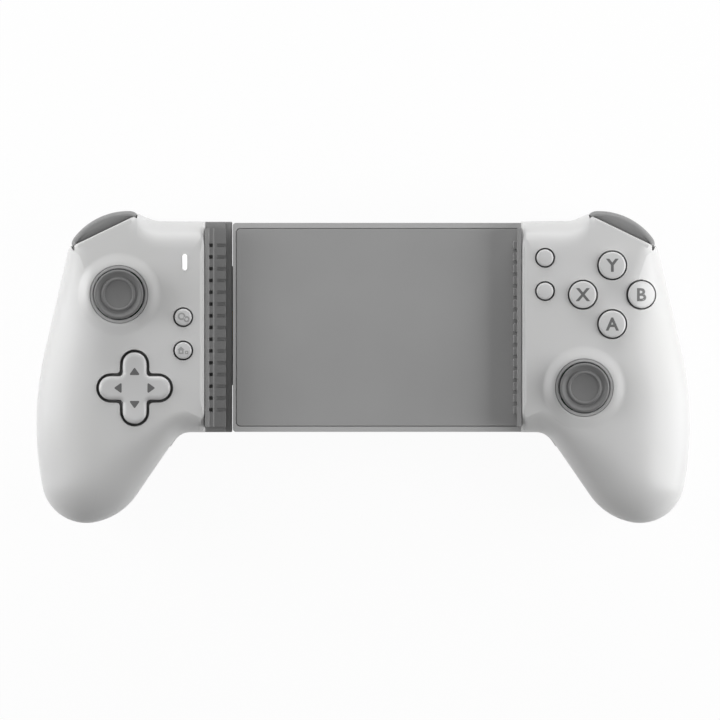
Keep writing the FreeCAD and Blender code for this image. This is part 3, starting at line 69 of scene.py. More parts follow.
camera = placed("camera", bpy.data.cameras.new("camera"))
camera.location = Vector((*VIEW_CENTRE, CAMERA_Z)) * MM
camera.data.sensor_width = SENSOR_MM
camera.data.lens = SENSOR_MM * (CAMERA_Z - FRONT_Z) / VIEW_WIDTH
bpy.context.scene.camera = camera
bpy.context.scene.view_settings.view_transform = "Standard"
print("lens %.0f mm" % camera.data.lens)

# %% [markdown]
# ## Colours and nodes
# Nodes could be joined by hand in the shader editor, but a recipe in text is easier to read and
# to change. Colours are written as they look on a screen and turned to linear light by one
# function, and one more adds a shader node with its settings and its links.

# %% Colour and node helpers
def linear(code, alpha=1.0):
    """Screen colour to linear: c / 12.92 up to 0.04045, above it ((c + 0.055) / 1.055) ** 2.4."""
    screen = np.array([int(code[start:start + 2], 16) for start in (0, 2, 4)]) / 255
    light = np.where(screen <= 0.04045, screen / 12.92, ((screen + 0.055) / 1.055) ** 2.4)
    return (*light.tolist(), alpha)


def add_node(tree, kind, inputs=None, links=None, **settings):
    """Add a node, set its plain values and join its inputs to other nodes' outputs."""
    item = tree.nodes.new(kind)
    for name, value in settings.items():
        setattr(item, name, value)
    for name, value in (inputs or {}).items():
        item.inputs[name].default_value = value
    for name, output in (links or {}).items():
        tree.links.new(output, item.inputs[name])
    return item


def blank_tree(owner):
    """The emptied node tree of a material or world."""
    owner.use_nodes = True
    owner.node_tree.nodes.clear()
    return owner.node_tree


print("mid grey 808080 is %.3f in linear light" % linear("808080")[0])

# %% [markdown]
# ## Moulded plastics and rubbers
# Nearly every surface is a moulded polymer. Its colour drifts by a few percent over
# centimetres, its gloss changes over a few millimetres, and the mould leaves a fine grain. The
# real grain is about 0.05 mm, too fine to show at three pixels to the millimetre, so it is
# drawn several times coarser and very shallow. Images could carry all this, but noise on object
# coordinates needs no unwrapping and shows no seams. One recipe makes them all from five facts.

# %% Polymer recipe
DRIFT_MM, GLOSS_MM = 30.0, 4.0
materials = {}


def polymer(slot, name, colour, drift, roughness, grain_mm, grain_depth_mm, spread=0.06,
            specular=0.5, sheen=0.0, light=0.0):
    """A moulded polymer: two near tones, a gloss that wanders, and a grain as bump."""
    materials[slot] = bpy.data.materials.new(name)
    tree = blank_tree(materials[slot])
    place = add_node(tree, "ShaderNodeTexCoord").outputs["Object"]
    broad = add_node(tree, "ShaderNodeTexNoise", {"Scale": 1 / (DRIFT_MM * MM), "Detail": 2.0},
                     {"Vector": place})
    tones = add_node(tree, "ShaderNodeValToRGB", None, {"Fac": broad.outputs["Fac"]})
    for stop, position, tone in zip(tones.color_ramp.elements, (0.3, 0.7), (colour, drift)):
        stop.position, stop.color = position, linear(tone)
    patches = add_node(tree, "ShaderNodeTexNoise", {"Scale": 1 / (GLOSS_MM * MM), "Detail": 3.0},
                       {"Vector": place})
    gloss = add_node(tree, "ShaderNodeMapRange",
                     {"To Min": roughness - spread / 2, "To Max": roughness + spread / 2},
                     {"Value": patches.outputs["Fac"]})
    grain = add_node(tree, "ShaderNodeTexNoise", {"Scale": 1 / (grain_mm * MM), "Detail": 2.0},
                     {"Vector": place})
    bump = add_node(tree, "ShaderNodeBump", {"Strength": 1.0, "Distance": grain_depth_mm * MM},
                    {"Height": grain.outputs["Fac"]})
    shader = add_node(tree, "ShaderNodeBsdfPrincipled",
                      {"IOR": 1.5, "Specular IOR Level": specular, "Sheen Weight": sheen},
                      {"Base Color": tones.outputs["Color"], "Roughness": gloss.outputs["Result"],
                       "Normal": bump.outputs["Normal"]})
    if light:
        shader.inputs["Emission Color"].default_value = linear(colour)
        shader.inputs["Emission Strength"].default_value = light
    add_node(tree, "ShaderNodeOutputMaterial", None, {"Surface": shader.outputs["BSDF"]})
    print("%-12s %s" % (slot, name))


print("colour drifts over %.0f mm and gloss over %.0f mm" % (DRIFT_MM, GLOSS_MM))

# %% White and grey shells
# Satin ABS: soft broad highlights on the rolled sides.
polymer("white_shell", "white_satin_abs", "D6D6D6", "D3D3D2", 0.36, 0.5, 0.006)
# Keys are moulded in a glossier ABS, so that a thumb slides on them and their rims draw a ring.
polymer("white_keys", "white_semi_gloss_abs", "D3D3D3", "CFCFCF", 0.3, 0.6, 0.003)
# Bumpers and triggers: grey ABS with a slightly rough grain for grip.
polymer("grey_keys", "grey_satin_abs", "8A8A8A", "858585", 0.4, 0.45, 0.012)
# The bridge, the arm and the collars are satin ABS too, in three greys that shine dully.
polymer("bridge_grey", "light_grey_satin_abs", "BCBCBC", "B8B8B8", 0.42, 0.5, 0.008)
polymer("arm_grey", "mid_dark_satin_abs", "9C9C9C", "989898", 0.45, 0.5, 0.01)
polymer("ring_grey", "mid_grey_satin_abs", "B4B4B4", "B0B0B0", 0.38, 0.5, 0.006)
# Acetal slides well and shines a little more: the sticks' domes and the rocking frames inside.
polymer("inner_black", "black_acetal", "2B2B2B", "262626", 0.35, 0.5, 0.004)
polymer("inner_white", "white_acetal", "D8D7D2", "D2D1CC", 0.3, 0.5, 0.004)

# %% Soft mouldings
# The phone lies on a matt sheet with an eggshell grain.
polymer("mat_grey", "grey_silicone_sheet", "A3A3A3", "9F9F9F", 0.62, 0.55, 0.02, specular=0.4)
# Rubber is matt, with a little sheen where light grazes it.
polymer("pad_rubber", "grey_rubber", "8E8E8E", "888888", 0.62, 0.5, 0.02, sheen=0.15)
polymer("stick_rubber", "charcoal_rubber", "757575", "6F6F6F", 0.52, 0.4, 0.016, sheen=0.1)
# Cast silicone is milky and dull. It shows only under the keys.
polymer("silicone", "milky_silicone", "C9C8C0", "BFBEB6", 0.5, 0.6, 0.01)
# Printed marks are a thin coat of ink, a little duller than the key under it.
polymer("print", "grey_print_ink", "6C6C6C", "686868", 0.5, 0.3, 0.002)
polymer("faint_print", "pale_print_ink", "A4A4A4", "A0A0A0", 0.45, 0.3, 0.002)
# The lit end of the light guide glows evenly.
polymer("light_guide", "lit_clear_acrylic", "FFFFFF", "FCFCFC", 0.25, 0.6, 0.002, light=0.35)
# Parts that only show when the shells are off: a solder mask is smooth and deep in colour, the
# pouch of a cell is crinkled foil, and the film of a flat cable is amber and shiny.
polymer("board_green", "green_solder_mask", "1F5B3A", "1B5133", 0.35, 0.8, 0.01)
polymer("cell_wrap", "foil_pouch", "9A9EA6", "8E929A", 0.32, 1.6, 0.02)
polymer("cable_film", "amber_film", "B07A2A", "A87324", 0.25, 0.6, 0.002)

# %% [markdown]
# ## Steel
# Screws, pins, springs and the stick's can are drawn or pressed steel. A metal takes its colour
# from its reflection, so the recipe is metallic, keeps the default IOR, and stretches a noise
# along Z for the drawing lines, about 0.2 mm apart.

# %% Steel
LINE_MM = 0.2
materials["steel"] = bpy.data.materials.new("drawn_steel")
tree = blank_tree(materials["steel"])
place = add_node(tree, "ShaderNodeTexCoord").outputs["Object"]
lay = add_node(tree, "ShaderNodeMapping", {"Scale": (1.0, 1.0, 0.1)}, {"Vector": place})
lines = add_node(tree, "ShaderNodeTexNoise", {"Scale": 1 / (LINE_MM * MM), "Detail": 2.0},
                 {"Vector": lay.outputs["Vector"]})
gloss = add_node(tree, "ShaderNodeMapRange", {"To Min": 0.22, "To Max": 0.38},
                 {"Value": lines.outputs["Fac"]})
bump = add_node(tree, "ShaderNodeBump", {"Distance": 0.004 * MM},
                {"Height": lines.outputs["Fac"]})
shader = add_node(tree, "ShaderNodeBsdfPrincipled",
                  {"Base Color": linear("A7A8AB"), "Metallic": 1.0},
                  {"Roughness": gloss.outputs["Result"], "Normal": bump.outputs["Normal"]})
add_node(tree, "ShaderNodeOutputMaterial", None, {"Surface": shader.outputs["BSDF"]})
print("steel        drawn_steel")

# %% [markdown]
# ## From numbers to meshes
# A rough cage under a subdivision modifier is quick to draw, but hard to hold to a tenth of a
# millimetre. So a surface here is a grid of points: a closed loop repeated at several levels.
# The points are computed as whole arrays, the faces are the cells of the grid, and the first
# and last loops are closed by one flat face each. Doubled points at a pole are merged, so that
# nothing is left open.

# %% Points of a mesh
MERGE_MM = 0.0005


def new_object(name, points, faces):
    """An object from points in millimetres, with doubled points merged."""
    mesh = bpy.data.meshes.new(name)
    mesh.from_pydata((np.asarray(points, float).reshape(-1, 3) * MM).tolist(), [], faces)
    form = bmesh.new()
    form.from_mesh(mesh)
    bmesh.ops.remove_doubles(form, verts=form.verts, dist=MERGE_MM * MM)
    form.to_mesh(mesh)
    form.free()
    return placed(name, mesh)


def reshaped(made, rule):
    """Move a piece's points by a rule that takes them all as one array, in millimetres."""
    co = np.empty(len(made.data.vertices) * 3)
    made.data.vertices.foreach_get("co", co)
    made.data.vertices.foreach_set("co", (rule(co.reshape(-1, 3) / MM) * MM).ravel())
    return made


print("points nearer than %.4f mm are merged" % MERGE_MM)


# %% Stacks of loops
def stack(levels, caps=True):
    """Faces of a stack of loops: each cell joins a loop's edge to the same edge one level up."""
    rows, count = np.asarray(levels).shape[:2]
    row, step = np.meshgrid(np.arange(rows - 1), np.arange(count), indexing="ij")
    after = (step + 1) % count
    cells = np.stack([row * count + step, row * count + after,
                      (row + 1) * count + after, (row + 1) * count + step], -1)
    faces = cells.reshape(-1, 4).tolist()
    if caps:
        faces.append(list(range(count))[::-1])
        faces.append(list(range((rows - 1) * count, rows * count)))
    return faces


def solid(name, levels, flip=False, pole=False):
    """A closed form from its levels. Flip mirrors it, and a pole is a last level of one point."""
    levels = np.array(levels, float)
    if flip:
        levels = levels[:, ::-1] * (-1, 1, 1)
    faces = stack(levels, caps=not pole)
    if pole:
        faces.append(list(range(levels.shape[1]))[::-1])
    return new_object(name, levels, faces)


print("two square loops have %d faces" % len(stack(np.zeros((2, 4, 3)))))

# %% [markdown]
# ## Cutting and finishing
# Holes could be built into each grid, but its rows would have to bend round every one of them.
# Cutting one closed form out of another leaves the smooth surface as it is. Then the sharp edges
# are marked for the shading, and the piece gets its finish and the body that carries it.

# %% Cut and finish
SHARP_ANGLE, BEVEL_ANGLE = math.radians(32), math.radians(40)


def carve(target, tools, how="DIFFERENCE"):
    """Cut closed forms out of another one, or join them to it, and drop the tools."""
    for tool in tools:
        change = target.modifiers.new("change", "BOOLEAN")
        change.object, change.operation, change.solver = tool, how, "EXACT"
    graph = bpy.context.evaluated_depsgraph_get()
    made = bpy.data.meshes.new_from_object(target.evaluated_get(graph))
    target.modifiers.clear()
    old, target.data = target.data, made
    bpy.data.meshes.remove(old)
    for tool in tools:
        bpy.data.meshes.remove(tool.data)
    return target


def finished(made, name, slot, body, replaced=(), bevel_mm=0.0, weighted=False):
    """Name, shade, paint and seat a piece on its body, in place of its CAD nodes."""
    made.name = made.data.name = name
    made.data.shade_smooth()
    made.data.set_sharp_from_angle(angle=SHARP_ANGLE)
    made.data.materials.clear()
    made.data.materials.append(materials[slot])
    if bevel_mm:
        edge = made.modifiers.new("edge", "BEVEL")
        edge.width, edge.segments, edge.limit_method = bevel_mm * MM, 3, "ANGLE"
        edge.angle_limit, edge.harden_normals = BEVEL_ANGLE, True
    if weighted:
        made.modifiers.new("flats", "WEIGHTED_NORMAL").keep_sharp = True
    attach(made, body)
    if replaced:
        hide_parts(*replaced)
    print("%-28s %6d points on %s" % (name, len(made.data.vertices), body))


# %% [markdown]
# ## Rounded outlines, turned pieces and plates
# Keys, sticks and screws are turned shapes, and the flat mouldings are plates. Bevelled
# cylinders and cubes would come close, but a profile of points can round every corner by its
# own radius. So outlines get their corners from arcs, half profiles are turned round an upright
# axis, and outlines are raised between two heights.

# %% Outlines
def unit(arrows):
    """Arrows of length one: each divided by the root of its summed squares."""
    return arrows / np.maximum(np.linalg.norm(arrows, axis=-1, keepdims=True), 1e-9)


def rounded(corners, radii, steps=8):
    """Round a closed outline's corners with arcs.

    The arc's centre is on the bisector at r / sin(half), it starts at r / tan(half) along the
    edge before, and it swings by a half turn less the corner's own angle.
    """
    corners = np.asarray(corners, float)
    radii = np.broadcast_to(np.asarray(radii, float), len(corners))
    before, after = unit(np.roll(corners, 1, 0) - corners), unit(np.roll(corners, -1, 0) - corners)
    half = np.arccos(np.clip((before * after).sum(1), -1, 1)) / 2
    start = corners + before * (radii / np.tan(half))[:, None]
    centre = corners + unit(before + after) * (radii / np.sin(half))[:, None]
    side = np.sign(before[:, 1] * after[:, 0] - before[:, 0] * after[:, 1])
    swing = ((math.pi - 2 * half) * side)[:, None] * np.linspace(0, 1, steps + 1)
    arm = start - centre
    x = centre[:, :1] + arm[:, :1] * np.cos(swing) - arm[:, 1:] * np.sin(swing)
    y = centre[:, 1:] + arm[:, :1] * np.sin(swing) + arm[:, 1:] * np.cos(swing)
    return np.stack([x, y], -1).reshape(-1, 2)


def arc(centre, radius, start, end, steps=8):
    """Points of a circle between two angles in degrees: centre + r (cos, sin)."""
    turn = np.radians(np.linspace(start, end, steps))
    return np.column_stack([centre[0] + radius * np.cos(turn), centre[1] + radius * np.sin(turn)])


def lifted(outline, height):
    """An outline put at a height."""
    return np.column_stack([outline, np.full(len(outline), float(height))])


def oblong(low_x, high_x, low_y, high_y):
    """The four corners of a rectangle, anticlockwise."""
    return np.array([(low_x, low_y), (high_x, low_y), (high_x, high_y), (low_x, high_y)], float)


print("a 10 mm square with 2 mm corners has %d points" % len(rounded(oblong(0, 10, 0, 10), 2)))


# %% Turned pieces and plates
def lathe(name, profile, centre, sides=96):
    """A turned piece: points (r cos a, r sin a, z) for each profile point and angle a."""
    profile = np.asarray(profile, float)
    angle = np.linspace(0, 2 * math.pi, sides, endpoint=False)
    grid = np.empty((len(profile), sides, 3))
    grid[..., 0] = centre[0] + profile[:, :1] * np.cos(angle)
    grid[..., 1] = centre[1] + profile[:, :1] * np.sin(angle)
    grid[..., 2] = profile[:, 1:]
    closed = not np.isclose(profile[[0, -1], 0], 0).all()
    if closed:
        grid = np.concatenate([grid, grid[:1]])
    return new_object(name, grid, stack(grid, caps=False))


def plate(name, outline, low, high, flip=False):
    """An outline raised straight from one height to another."""
    return solid(name, [lifted(outline, low), lifted(outline, high)], flip)


def post(spot, radius, low, high, sides=40):
    """A plain upright post."""
    return lathe("post", [(0, low), (radius, low), (radius, high), (0, high)], spot, sides)


def sided(spot, flip):
    """A spot of the right grip, or its mirror image."""
    return (-spot[0] if flip else spot[0], spot[1])


print("a spot at 60, 5 on the left grip is at %d, %d" % sided((60, 5), True))

# %% [markdown]
# ## The grips
# Each grip is two shells that meet half way up its side. Their shared outline has nine corners,
# each with its own radius. The face of the front shell is one soft cushion: it falls away to the
# outline like a quarter ellipse, 21 mm wide on the flank and 0.8 mm at the shoulder, and it has a
# slight crown. Separate roundings would leave creases where they meet, so the height is computed
# from a smooth distance to the whole rim at once. The left grip is the right one mirrored.

# %% Measures of the grips
CORNERS = np.array([(49.5, -21.8), (61.4, -21.8), (80.4, -49.5), (104.3, -55.8), (111.6, -16.7),
                    (98.4, 40.1), (75.3, 51.2), (69.5, 48.8), (49.5, 48.6)])
RADII = np.array([1.2, 7.0, 21.7, 15.0, 110.0, 2.2, 1.2, 9.0, 1.2])
DENTS = np.array([False, True, False, False, False, False, False, True, False])
CORNER_STEPS, EDGE_STEPS = 14, 12
SKIN, SHARP_MM = 2.0, 0.4
INNER_WALL_X, OUTLINE_X = 52.8, 49.5
PART_Z, SIDE_Z = 30.0, 33.5
FOOT_MIDDLE, FOOT_SHARE, SWELL = np.array([95.0, -37.0]), 0.2, 1.75
SEAM_MM = 0.22
print("the grips meet at z %.0f and their sides end at z %.1f" % (PART_Z, SIDE_Z))


# %% Draw the outline in
def drawn_in(corners, insets):
    """Move each edge of a closed outline inwards, and meet its moved neighbours again.

    Two edges with starts p and q and directions d and e cross at p + d ((q - p) x e) / (d x e).
    """
    along = unit(np.roll(corners, -1, 0) - corners)
    spot = corners + np.column_stack([-along[:, 1], along[:, 0]]) * np.reshape(insets, (-1, 1))
    last, before = np.roll(spot, 1, 0), np.roll(along, 1, 0)
    gap = spot - last
    cross = before[:, 0] * along[:, 1] - before[:, 1] * along[:, 0]
    reach = (gap[:, 0] * along[:, 1] - gap[:, 1] * along[:, 0]) / cross
    return last + before * reach[:, None]


def softened(radii, by, skin):
    """Corner radii after drawing in: hollows grow and bulges shrink. A skin's dents are sharp."""
    dents = np.full(len(radii), SHARP_MM) if skin else radii + by
    return np.where(DENTS, dents, np.maximum(SHARP_MM, radii - by))


CORNER_SHARE = np.linspace(0, 1, CORNER_STEPS + 1)
EDGE_SHARE = np.linspace(0, 1, EDGE_STEPS + 1)


def inset_loop(inset, skin=0.0):
    """The outline drawn in by one amount on every edge, with even points along its straights."""
    insets = np.full(len(CORNERS), inset + skin)
    insets[-1] += INNER_WALL_X - OUTLINE_X if skin else 0.0
    arcs = rounded(drawn_in(CORNERS, insets), softened(RADII, inset + skin, skin), CORNER_STEPS)
    arcs = arcs.reshape(len(CORNERS), -1, 2)
    ends, starts = arcs[:, -1:], np.roll(arcs[:, :1], -1, 0)
    straights = ends + (starts - ends) * EDGE_SHARE[1:-1, None]
    return np.concatenate([arcs, straights], 1).reshape(-1, 2)


print("the outline has %d points" % len(inset_loop(0.0)))

# %% [markdown]
# ## The rolled edge
# Where the face turns down to the side, the roll is wide on the flank and tight at the shoulder.
# A bevel has one width and couldn't follow that. So each edge of the outline has a width of roll
# at either end, and the rim is sampled every tenth of a millimetre.

# %% Rolls along the rim
# The width of the roll at both ends of each edge, in the order of the corners, and the power of
# the share along the edge by which it changes.
ROLL_ENDS = np.array([(6, 8), (8, 18), (18, 18), (18, 21), (21, 4.6), (0.8, 0.8), (3, 8), (9, 9),
                      (3.3, 3.3)], float)
ROLL_CURVES = np.array([1, 1, 1, 1, 1.7, 1, 1, 1, 1])
RIM_STEP = 0.1


def between(start, end, shares):
    """Rolls that run from one column of values to another."""
    return start[:, None] * (1 - shares) + end[:, None] * shares


RIM_ROLLS = np.concatenate([between(np.roll(ROLL_ENDS[:, 1], 1), ROLL_ENDS[:, 0], CORNER_SHARE),
                            between(ROLL_ENDS[:, 0], ROLL_ENDS[:, 1],
                                    EDGE_SHARE[1:-1] ** ROLL_CURVES[:, None])],
                           1).ravel()


def rim_samples():
    """The outline at even steps, with the roll at each: columns x, y and roll."""
    track = np.column_stack([inset_loop(0.0), RIM_ROLLS])
    track = np.vstack([track, track[:1]])
    run = np.append(0, np.cumsum(np.linalg.norm(np.diff(track[:, :2], axis=0), axis=1)))
    spots = np.arange(0, run[-1], RIM_STEP)
    return np.column_stack([np.interp(spots, run, track[:, column]) for column in range(3)])


RIM = rim_samples()
print("the rim has %d samples" % len(RIM))

# %% [markdown]
# ## The cushion of the face
# The distance to the nearest edge would have a crease wherever two edges are equally near. A sum
# over the whole rim, in which near samples count far more than far ones, has none.

# %% Height of the face
POWER, BLOCK = 6, 1500
CROWN_MM, CROWN_X, CROWN_REACH = 1.0, 80.0, 25.0
RIM_SHARE = math.sqrt(math.pi) * math.gamma((POWER - 1) / 2) / math.gamma(POWER / 2)


def nearness(x, y):
    """Smooth distance to the rim, counted in rolls.

    It is (sum of (step / roll) (r / roll) ** -q / C) ** (1 / (1 - q)), and C is what an endless
    straight edge adds up to, so that beside one the result is its distance.
    """
    x, y = np.broadcast_arrays(np.abs(x), y)
    total = np.empty(x.size)
    for block in np.array_split(np.arange(x.size), max(1, x.size // BLOCK)):
        gap = np.hypot(x.ravel()[block, None] - RIM[:, 0], y.ravel()[block, None] - RIM[:, 1])
        terms = (np.maximum(gap, RIM_STEP / 2) / RIM[:, 2]) ** -POWER * (RIM_STEP / RIM[:, 2])
        total[block] = terms.sum(1) / RIM_SHARE
    return (total ** (1 / (1 - POWER))).reshape(x.shape)


def face_height(x, y, near=None):
    """Height of the face: side + (crown - side) root(1 - (1 - u)^2), u the nearness up to 1."""
    near = np.minimum(1, nearness(x, y) if near is None else near)
    crown = FRONT_Z - CROWN_MM * ((np.abs(x) - CROWN_X) / CROWN_REACH) ** 2
    return SIDE_Z + (crown - SIDE_Z) * np.sqrt(1 - (1 - near) ** 2)


print("the face is %.2f mm high at its crown" % face_height(CROWN_X, -5.0))

# %% [markdown]
# ## Levels of the two shells
# The front shell's grid follows its rim: the outline is drawn in by small steps where the roll
# is tight, and is then shrunk to a point where the face is calm. A square grid would cut the rim
# into stairs. The rear shell is the same outline, shrunk towards the foot on its way down.

# %% Rings of the face and loops of the rear
RING_INSETS = 4.4 * np.linspace(0, 1, 16)[1:] ** 2.2
STAR_MIDDLE, STAR_STEPS = np.array([80.0, -5.0]), 30
TRUST_MM = 0.5


def face_rings(skin=0.0):
    """The face as rings: the outline drawn in, then the last ring shrunk to a middle point."""
    flats = [inset_loop(inset, skin) for inset in RING_INSETS]
    shares = np.linspace(1, 0, STAR_STEPS + 1)[1:]
    flats += list(STAR_MIDDLE + (flats[-1] - STAR_MIDDLE) * shares[:, None, None])
    flats = np.array(flats)
    near = nearness(flats[..., 0], flats[..., 1])
    if not skin:
        insets = np.append(RING_INSETS, np.full(STAR_STEPS, TRUST_MM))[:, None]
        trust = np.clip(insets / TRUST_MM, 0, 1)
        near = near * trust + insets / RIM_ROLLS * (1 - trust)
    heights = face_height(flats[..., 0], flats[..., 1], near) - skin
    return list(np.concatenate([flats, heights[..., None]], -1))


def rear_loop(height, skin=0.0, seam=0.0, lift=0.0):
    """A level of the rear shell: the outline shrunk towards the foot by a superellipse.

    With d the share of the full depth, the size is s + (1 - s) (1 - (1 - d) ** n) ** (1 / n).
    """
    depth = min(1.0, max(0.0, (height - skin) / PART_Z))
    share = FOOT_SHARE + (1 - FOOT_SHARE) * (1 - (1 - depth) ** SWELL) ** (1 / SWELL)
    corners, radii = FOOT_MIDDLE + (CORNERS - FOOT_MIDDLE) * share, RADII * share
    if skin or seam:
        insets = np.full(len(corners), skin + seam)
        insets[-1] += (INNER_WALL_X - OUTLINE_X) * share if skin else 0.0
        corners = drawn_in(corners, insets)
        radii = softened(radii, skin + seam, skin)
    return lifted(rounded(corners, radii, CORNER_STEPS), height + lift)


print("the outline at the parting is %.1f mm wide" % np.ptp(rear_loop(PART_Z)[:, 0]))

# %% [markdown]
# ## Cutting tools for the shells
# Every opening has a slightly flared mouth, as a moulded hole has, so its rim catches a thin
# line of light. Round holes are turned tools, and the cross hole is a stack of the cross's own
# outline.

# %% Hole tools
FLARE, OVER = 0.18, 2.0
CORNER_ARC = np.linspace(0, math.pi / 2, 6)


def flared(radius, low, high=FRONT_Z, flare=FLARE):
    """Half profile of a hole whose mouth opens by a quarter circle of the flare's radius."""
    mouth = [(radius + flare * (1 - math.cos(turn)), high - flare + flare * math.sin(turn))
             for turn in CORNER_ARC]
    return [(0, low), (radius, low)] + mouth + [(radius + flare, FRONT_Z + OVER),
                                                (0, FRONT_Z + OVER)]


print("the mouth of a button hole opens to %.2f mm" % flared(4.85, 30)[-2][0])

# %% Cross and slot outlines
QUARTER_TURNS = [np.array([[c, s], [-s, c]]) for c, s in ((1, 0), (0, 1), (-1, 0), (0, -1))]


def cross_loop(span, arm, corner, height, centre=(0.0, 0.0), steps=14):
    """A plus with round arm ends and rounded inner corners, at one height."""
    half, reach = arm / 2, (span - arm) / 2
    tip = np.radians(np.linspace(-90, 90, steps + 1))
    notch = np.radians(np.linspace(-90, -180, steps // 2 + 1))
    quarter = np.vstack([np.column_stack([reach + half * np.cos(tip), half * np.sin(tip)]),
                         half + corner + corner * np.column_stack([np.cos(notch), np.sin(notch)])])
    return lifted(np.vstack([quarter @ turn for turn in QUARTER_TURNS]) + centre, height)


def slot_loop(x, y, width, length, height, steps=10):
    """A round-ended slot that runs along Y: half circles joined by straight sides."""
    bend = np.linspace(0, math.pi, steps + 1)
    end = np.column_stack([np.cos(bend), np.sin(bend)]) * width / 2
    top = end + (0, (length - width) / 2)
    return lifted(np.vstack([top, -top]) + (x, y), height)


print("a cross outline has %d points" % len(cross_loop(20, 6, 1, 0)))

# %% [markdown]
# ## Inner wall and stick mounds
# One long plank with a rounded edge trims each grip at its inner wall. Its edge follows the
# height of the face, so the bead along the wall keeps its width. A low mound lifts the face up to
# each stick's collar. It could be a ring of its own, but a smooth step that starts at the face's
# height leaves no seam.

# %% Trim of the inner wall
TRIM_RADIUS, FAR = 2.2, 120.0
TRIM_ROWS, FACE_Y = (54, -26, 81), (-21.0, 47.8)
CREASE_TURN, CREASE_WIDTH, CREASE_MM = 0.95, 0.07, 0.16


def wall_trim(flip):
    """The space past the inner wall: its rounded edge follows the face and has a fine crease."""
    turn = np.linspace(0, math.pi / 2, 19)
    radius = TRIM_RADIUS - CREASE_MM * np.exp(-((turn - CREASE_TURN) / CREASE_WIDTH) ** 2)
    bend = np.column_stack([INNER_WALL_X + TRIM_RADIUS - radius * np.cos(turn),
                            FRONT_Z - TRIM_RADIUS + radius * np.sin(turn)])
    side = np.vstack([[(-FAR, -OVER), (INNER_WALL_X, -OVER)], bend,
                      [(bend[-1, 0], FRONT_Z + 2 * OVER), (-FAR, FRONT_Z + 2 * OVER)]])
    rows = np.concatenate([[FAR], np.linspace(*TRIM_ROWS), [-FAR]])
    drop = face_height(bend[-1, 0], np.clip(rows, *FACE_Y)) - FRONT_Z
    moved = np.r_[0, 0, np.ones(len(bend)), 0, 0]
    ends = np.empty((len(rows), len(side), 3))
    ends[..., 0], ends[..., 1] = side[:, 0], rows[:, None]
    ends[..., 2] = side[:, 1] + drop[:, None] * moved
    return solid("trim", ends, flip)


print("the bead along the wall is %.1f mm round" % TRIM_RADIUS)

# %% Mound round a stick
MOUND_Z, MOUND_IN, MOUND_OUT, SEAT_Z = 46.75, 9.9, 14.1, 43.6
SKIRT_GROW, SKIRT_DROP = 1.04, 0.6


def mound(centre):
    """The low mound round a stick: face + (top - face) (3 s^2 - 2 s^3), s the share inwards.

    A skirt wider than the mound goes down through the face, so that the two cross clearly.
    """
    share = np.linspace(0, 1, 18)[:, None]
    reach = MOUND_OUT + (MOUND_IN - MOUND_OUT) * share
    angle = np.linspace(0, 2 * math.pi, 128, endpoint=False)
    x, y = centre[0] + reach * np.cos(angle), centre[1] + reach * np.sin(angle)
    face = face_height(x, y)
    levels = np.stack([x, y, face + (MOUND_Z - face) * share ** 2 * (3 - 2 * share)], -1)
    middle = np.array([*centre, 0])
    skirt = (levels[0] - middle) * (SKIRT_GROW, SKIRT_GROW, 1) + middle - (0, 0, SKIRT_DROP)
    foot = skirt * (1, 1, 0) + (0, 0, SEAT_Z - SKIRT_DROP)
    return solid("mound", np.concatenate([[foot, skirt], levels]))


print("a mound is %.2f mm higher than the front plane" % (MOUND_Z - FRONT_Z))

# %% [markdown]
# ## The shoulder corner
# Bumper, trigger and their bearings sit square to the slanted shoulder line, not to the page.
# They could be drawn square and turned afterwards, but every piece here keeps its place in its
# mesh. A small change of frame puts points given along the line, out from it and up, where they
# go.

# %% Shoulder frame
CREST = CORNERS[6]
RUN = unit(CORNERS[5] - CORNERS[6])
OUTWARD = np.array([-RUN[1], RUN[0]])
AXLE_OUT, AXLE_Z = -4.6, 25.6


def at_shoulder(along, out, height):
    """Place = crest + along times the line's direction + out times its normal."""
    along, out, height = np.broadcast_arrays(along, out, height)
    flat = CREST + along[..., None] * RUN + out[..., None] * OUTWARD
    return np.concatenate([flat, height[..., None]], -1)


def shoulder_block(along, out, low, high, flip=False):
    """A block between two distances along the shoulder, two outwards and two heights."""
    ring = oblong(along[0], along[1], out[0], out[1])
    return solid("block", [at_shoulder(ring[:, 0], ring[:, 1], z) for z in (low, high)], flip)


def axle_bar(start, end, radius, flip=False, sides=40):
    """A round bar along the trigger's axle."""
    angle = np.linspace(0, 2 * math.pi, sides, endpoint=False)
    out, up = AXLE_OUT + radius * np.cos(angle), AXLE_Z + radius * np.sin(angle)
    return solid("bar", [at_shoulder(start, out, up), at_shoulder(end, out, up)], flip)


def across(profile, start, end, flip=False):
    """A profile in the outward and height directions, drawn along the shoulder line."""
    out, up = np.array(profile).T
    return solid("block", [at_shoulder(along, out, up) for along in (start, end)], flip)


print("the shoulder line runs %.1f degrees down" % -math.degrees(math.atan2(RUN[1], RUN[0])))

# %% [markdown]
# ## Front shells
# The real cover is a moulded skin two millimetres thick. A Solidify modifier would give it a
# wall too, but no posts or seats. Here the form is solid first, and a second stack, one wall
# inside it, empties it. Posts are taken out of that second stack beforehand, so they stay
# standing in the shell.

# %% Places of the controls
STICKS = {"right": (73.7, -6.9), "left": (-81.4, 24.2)}
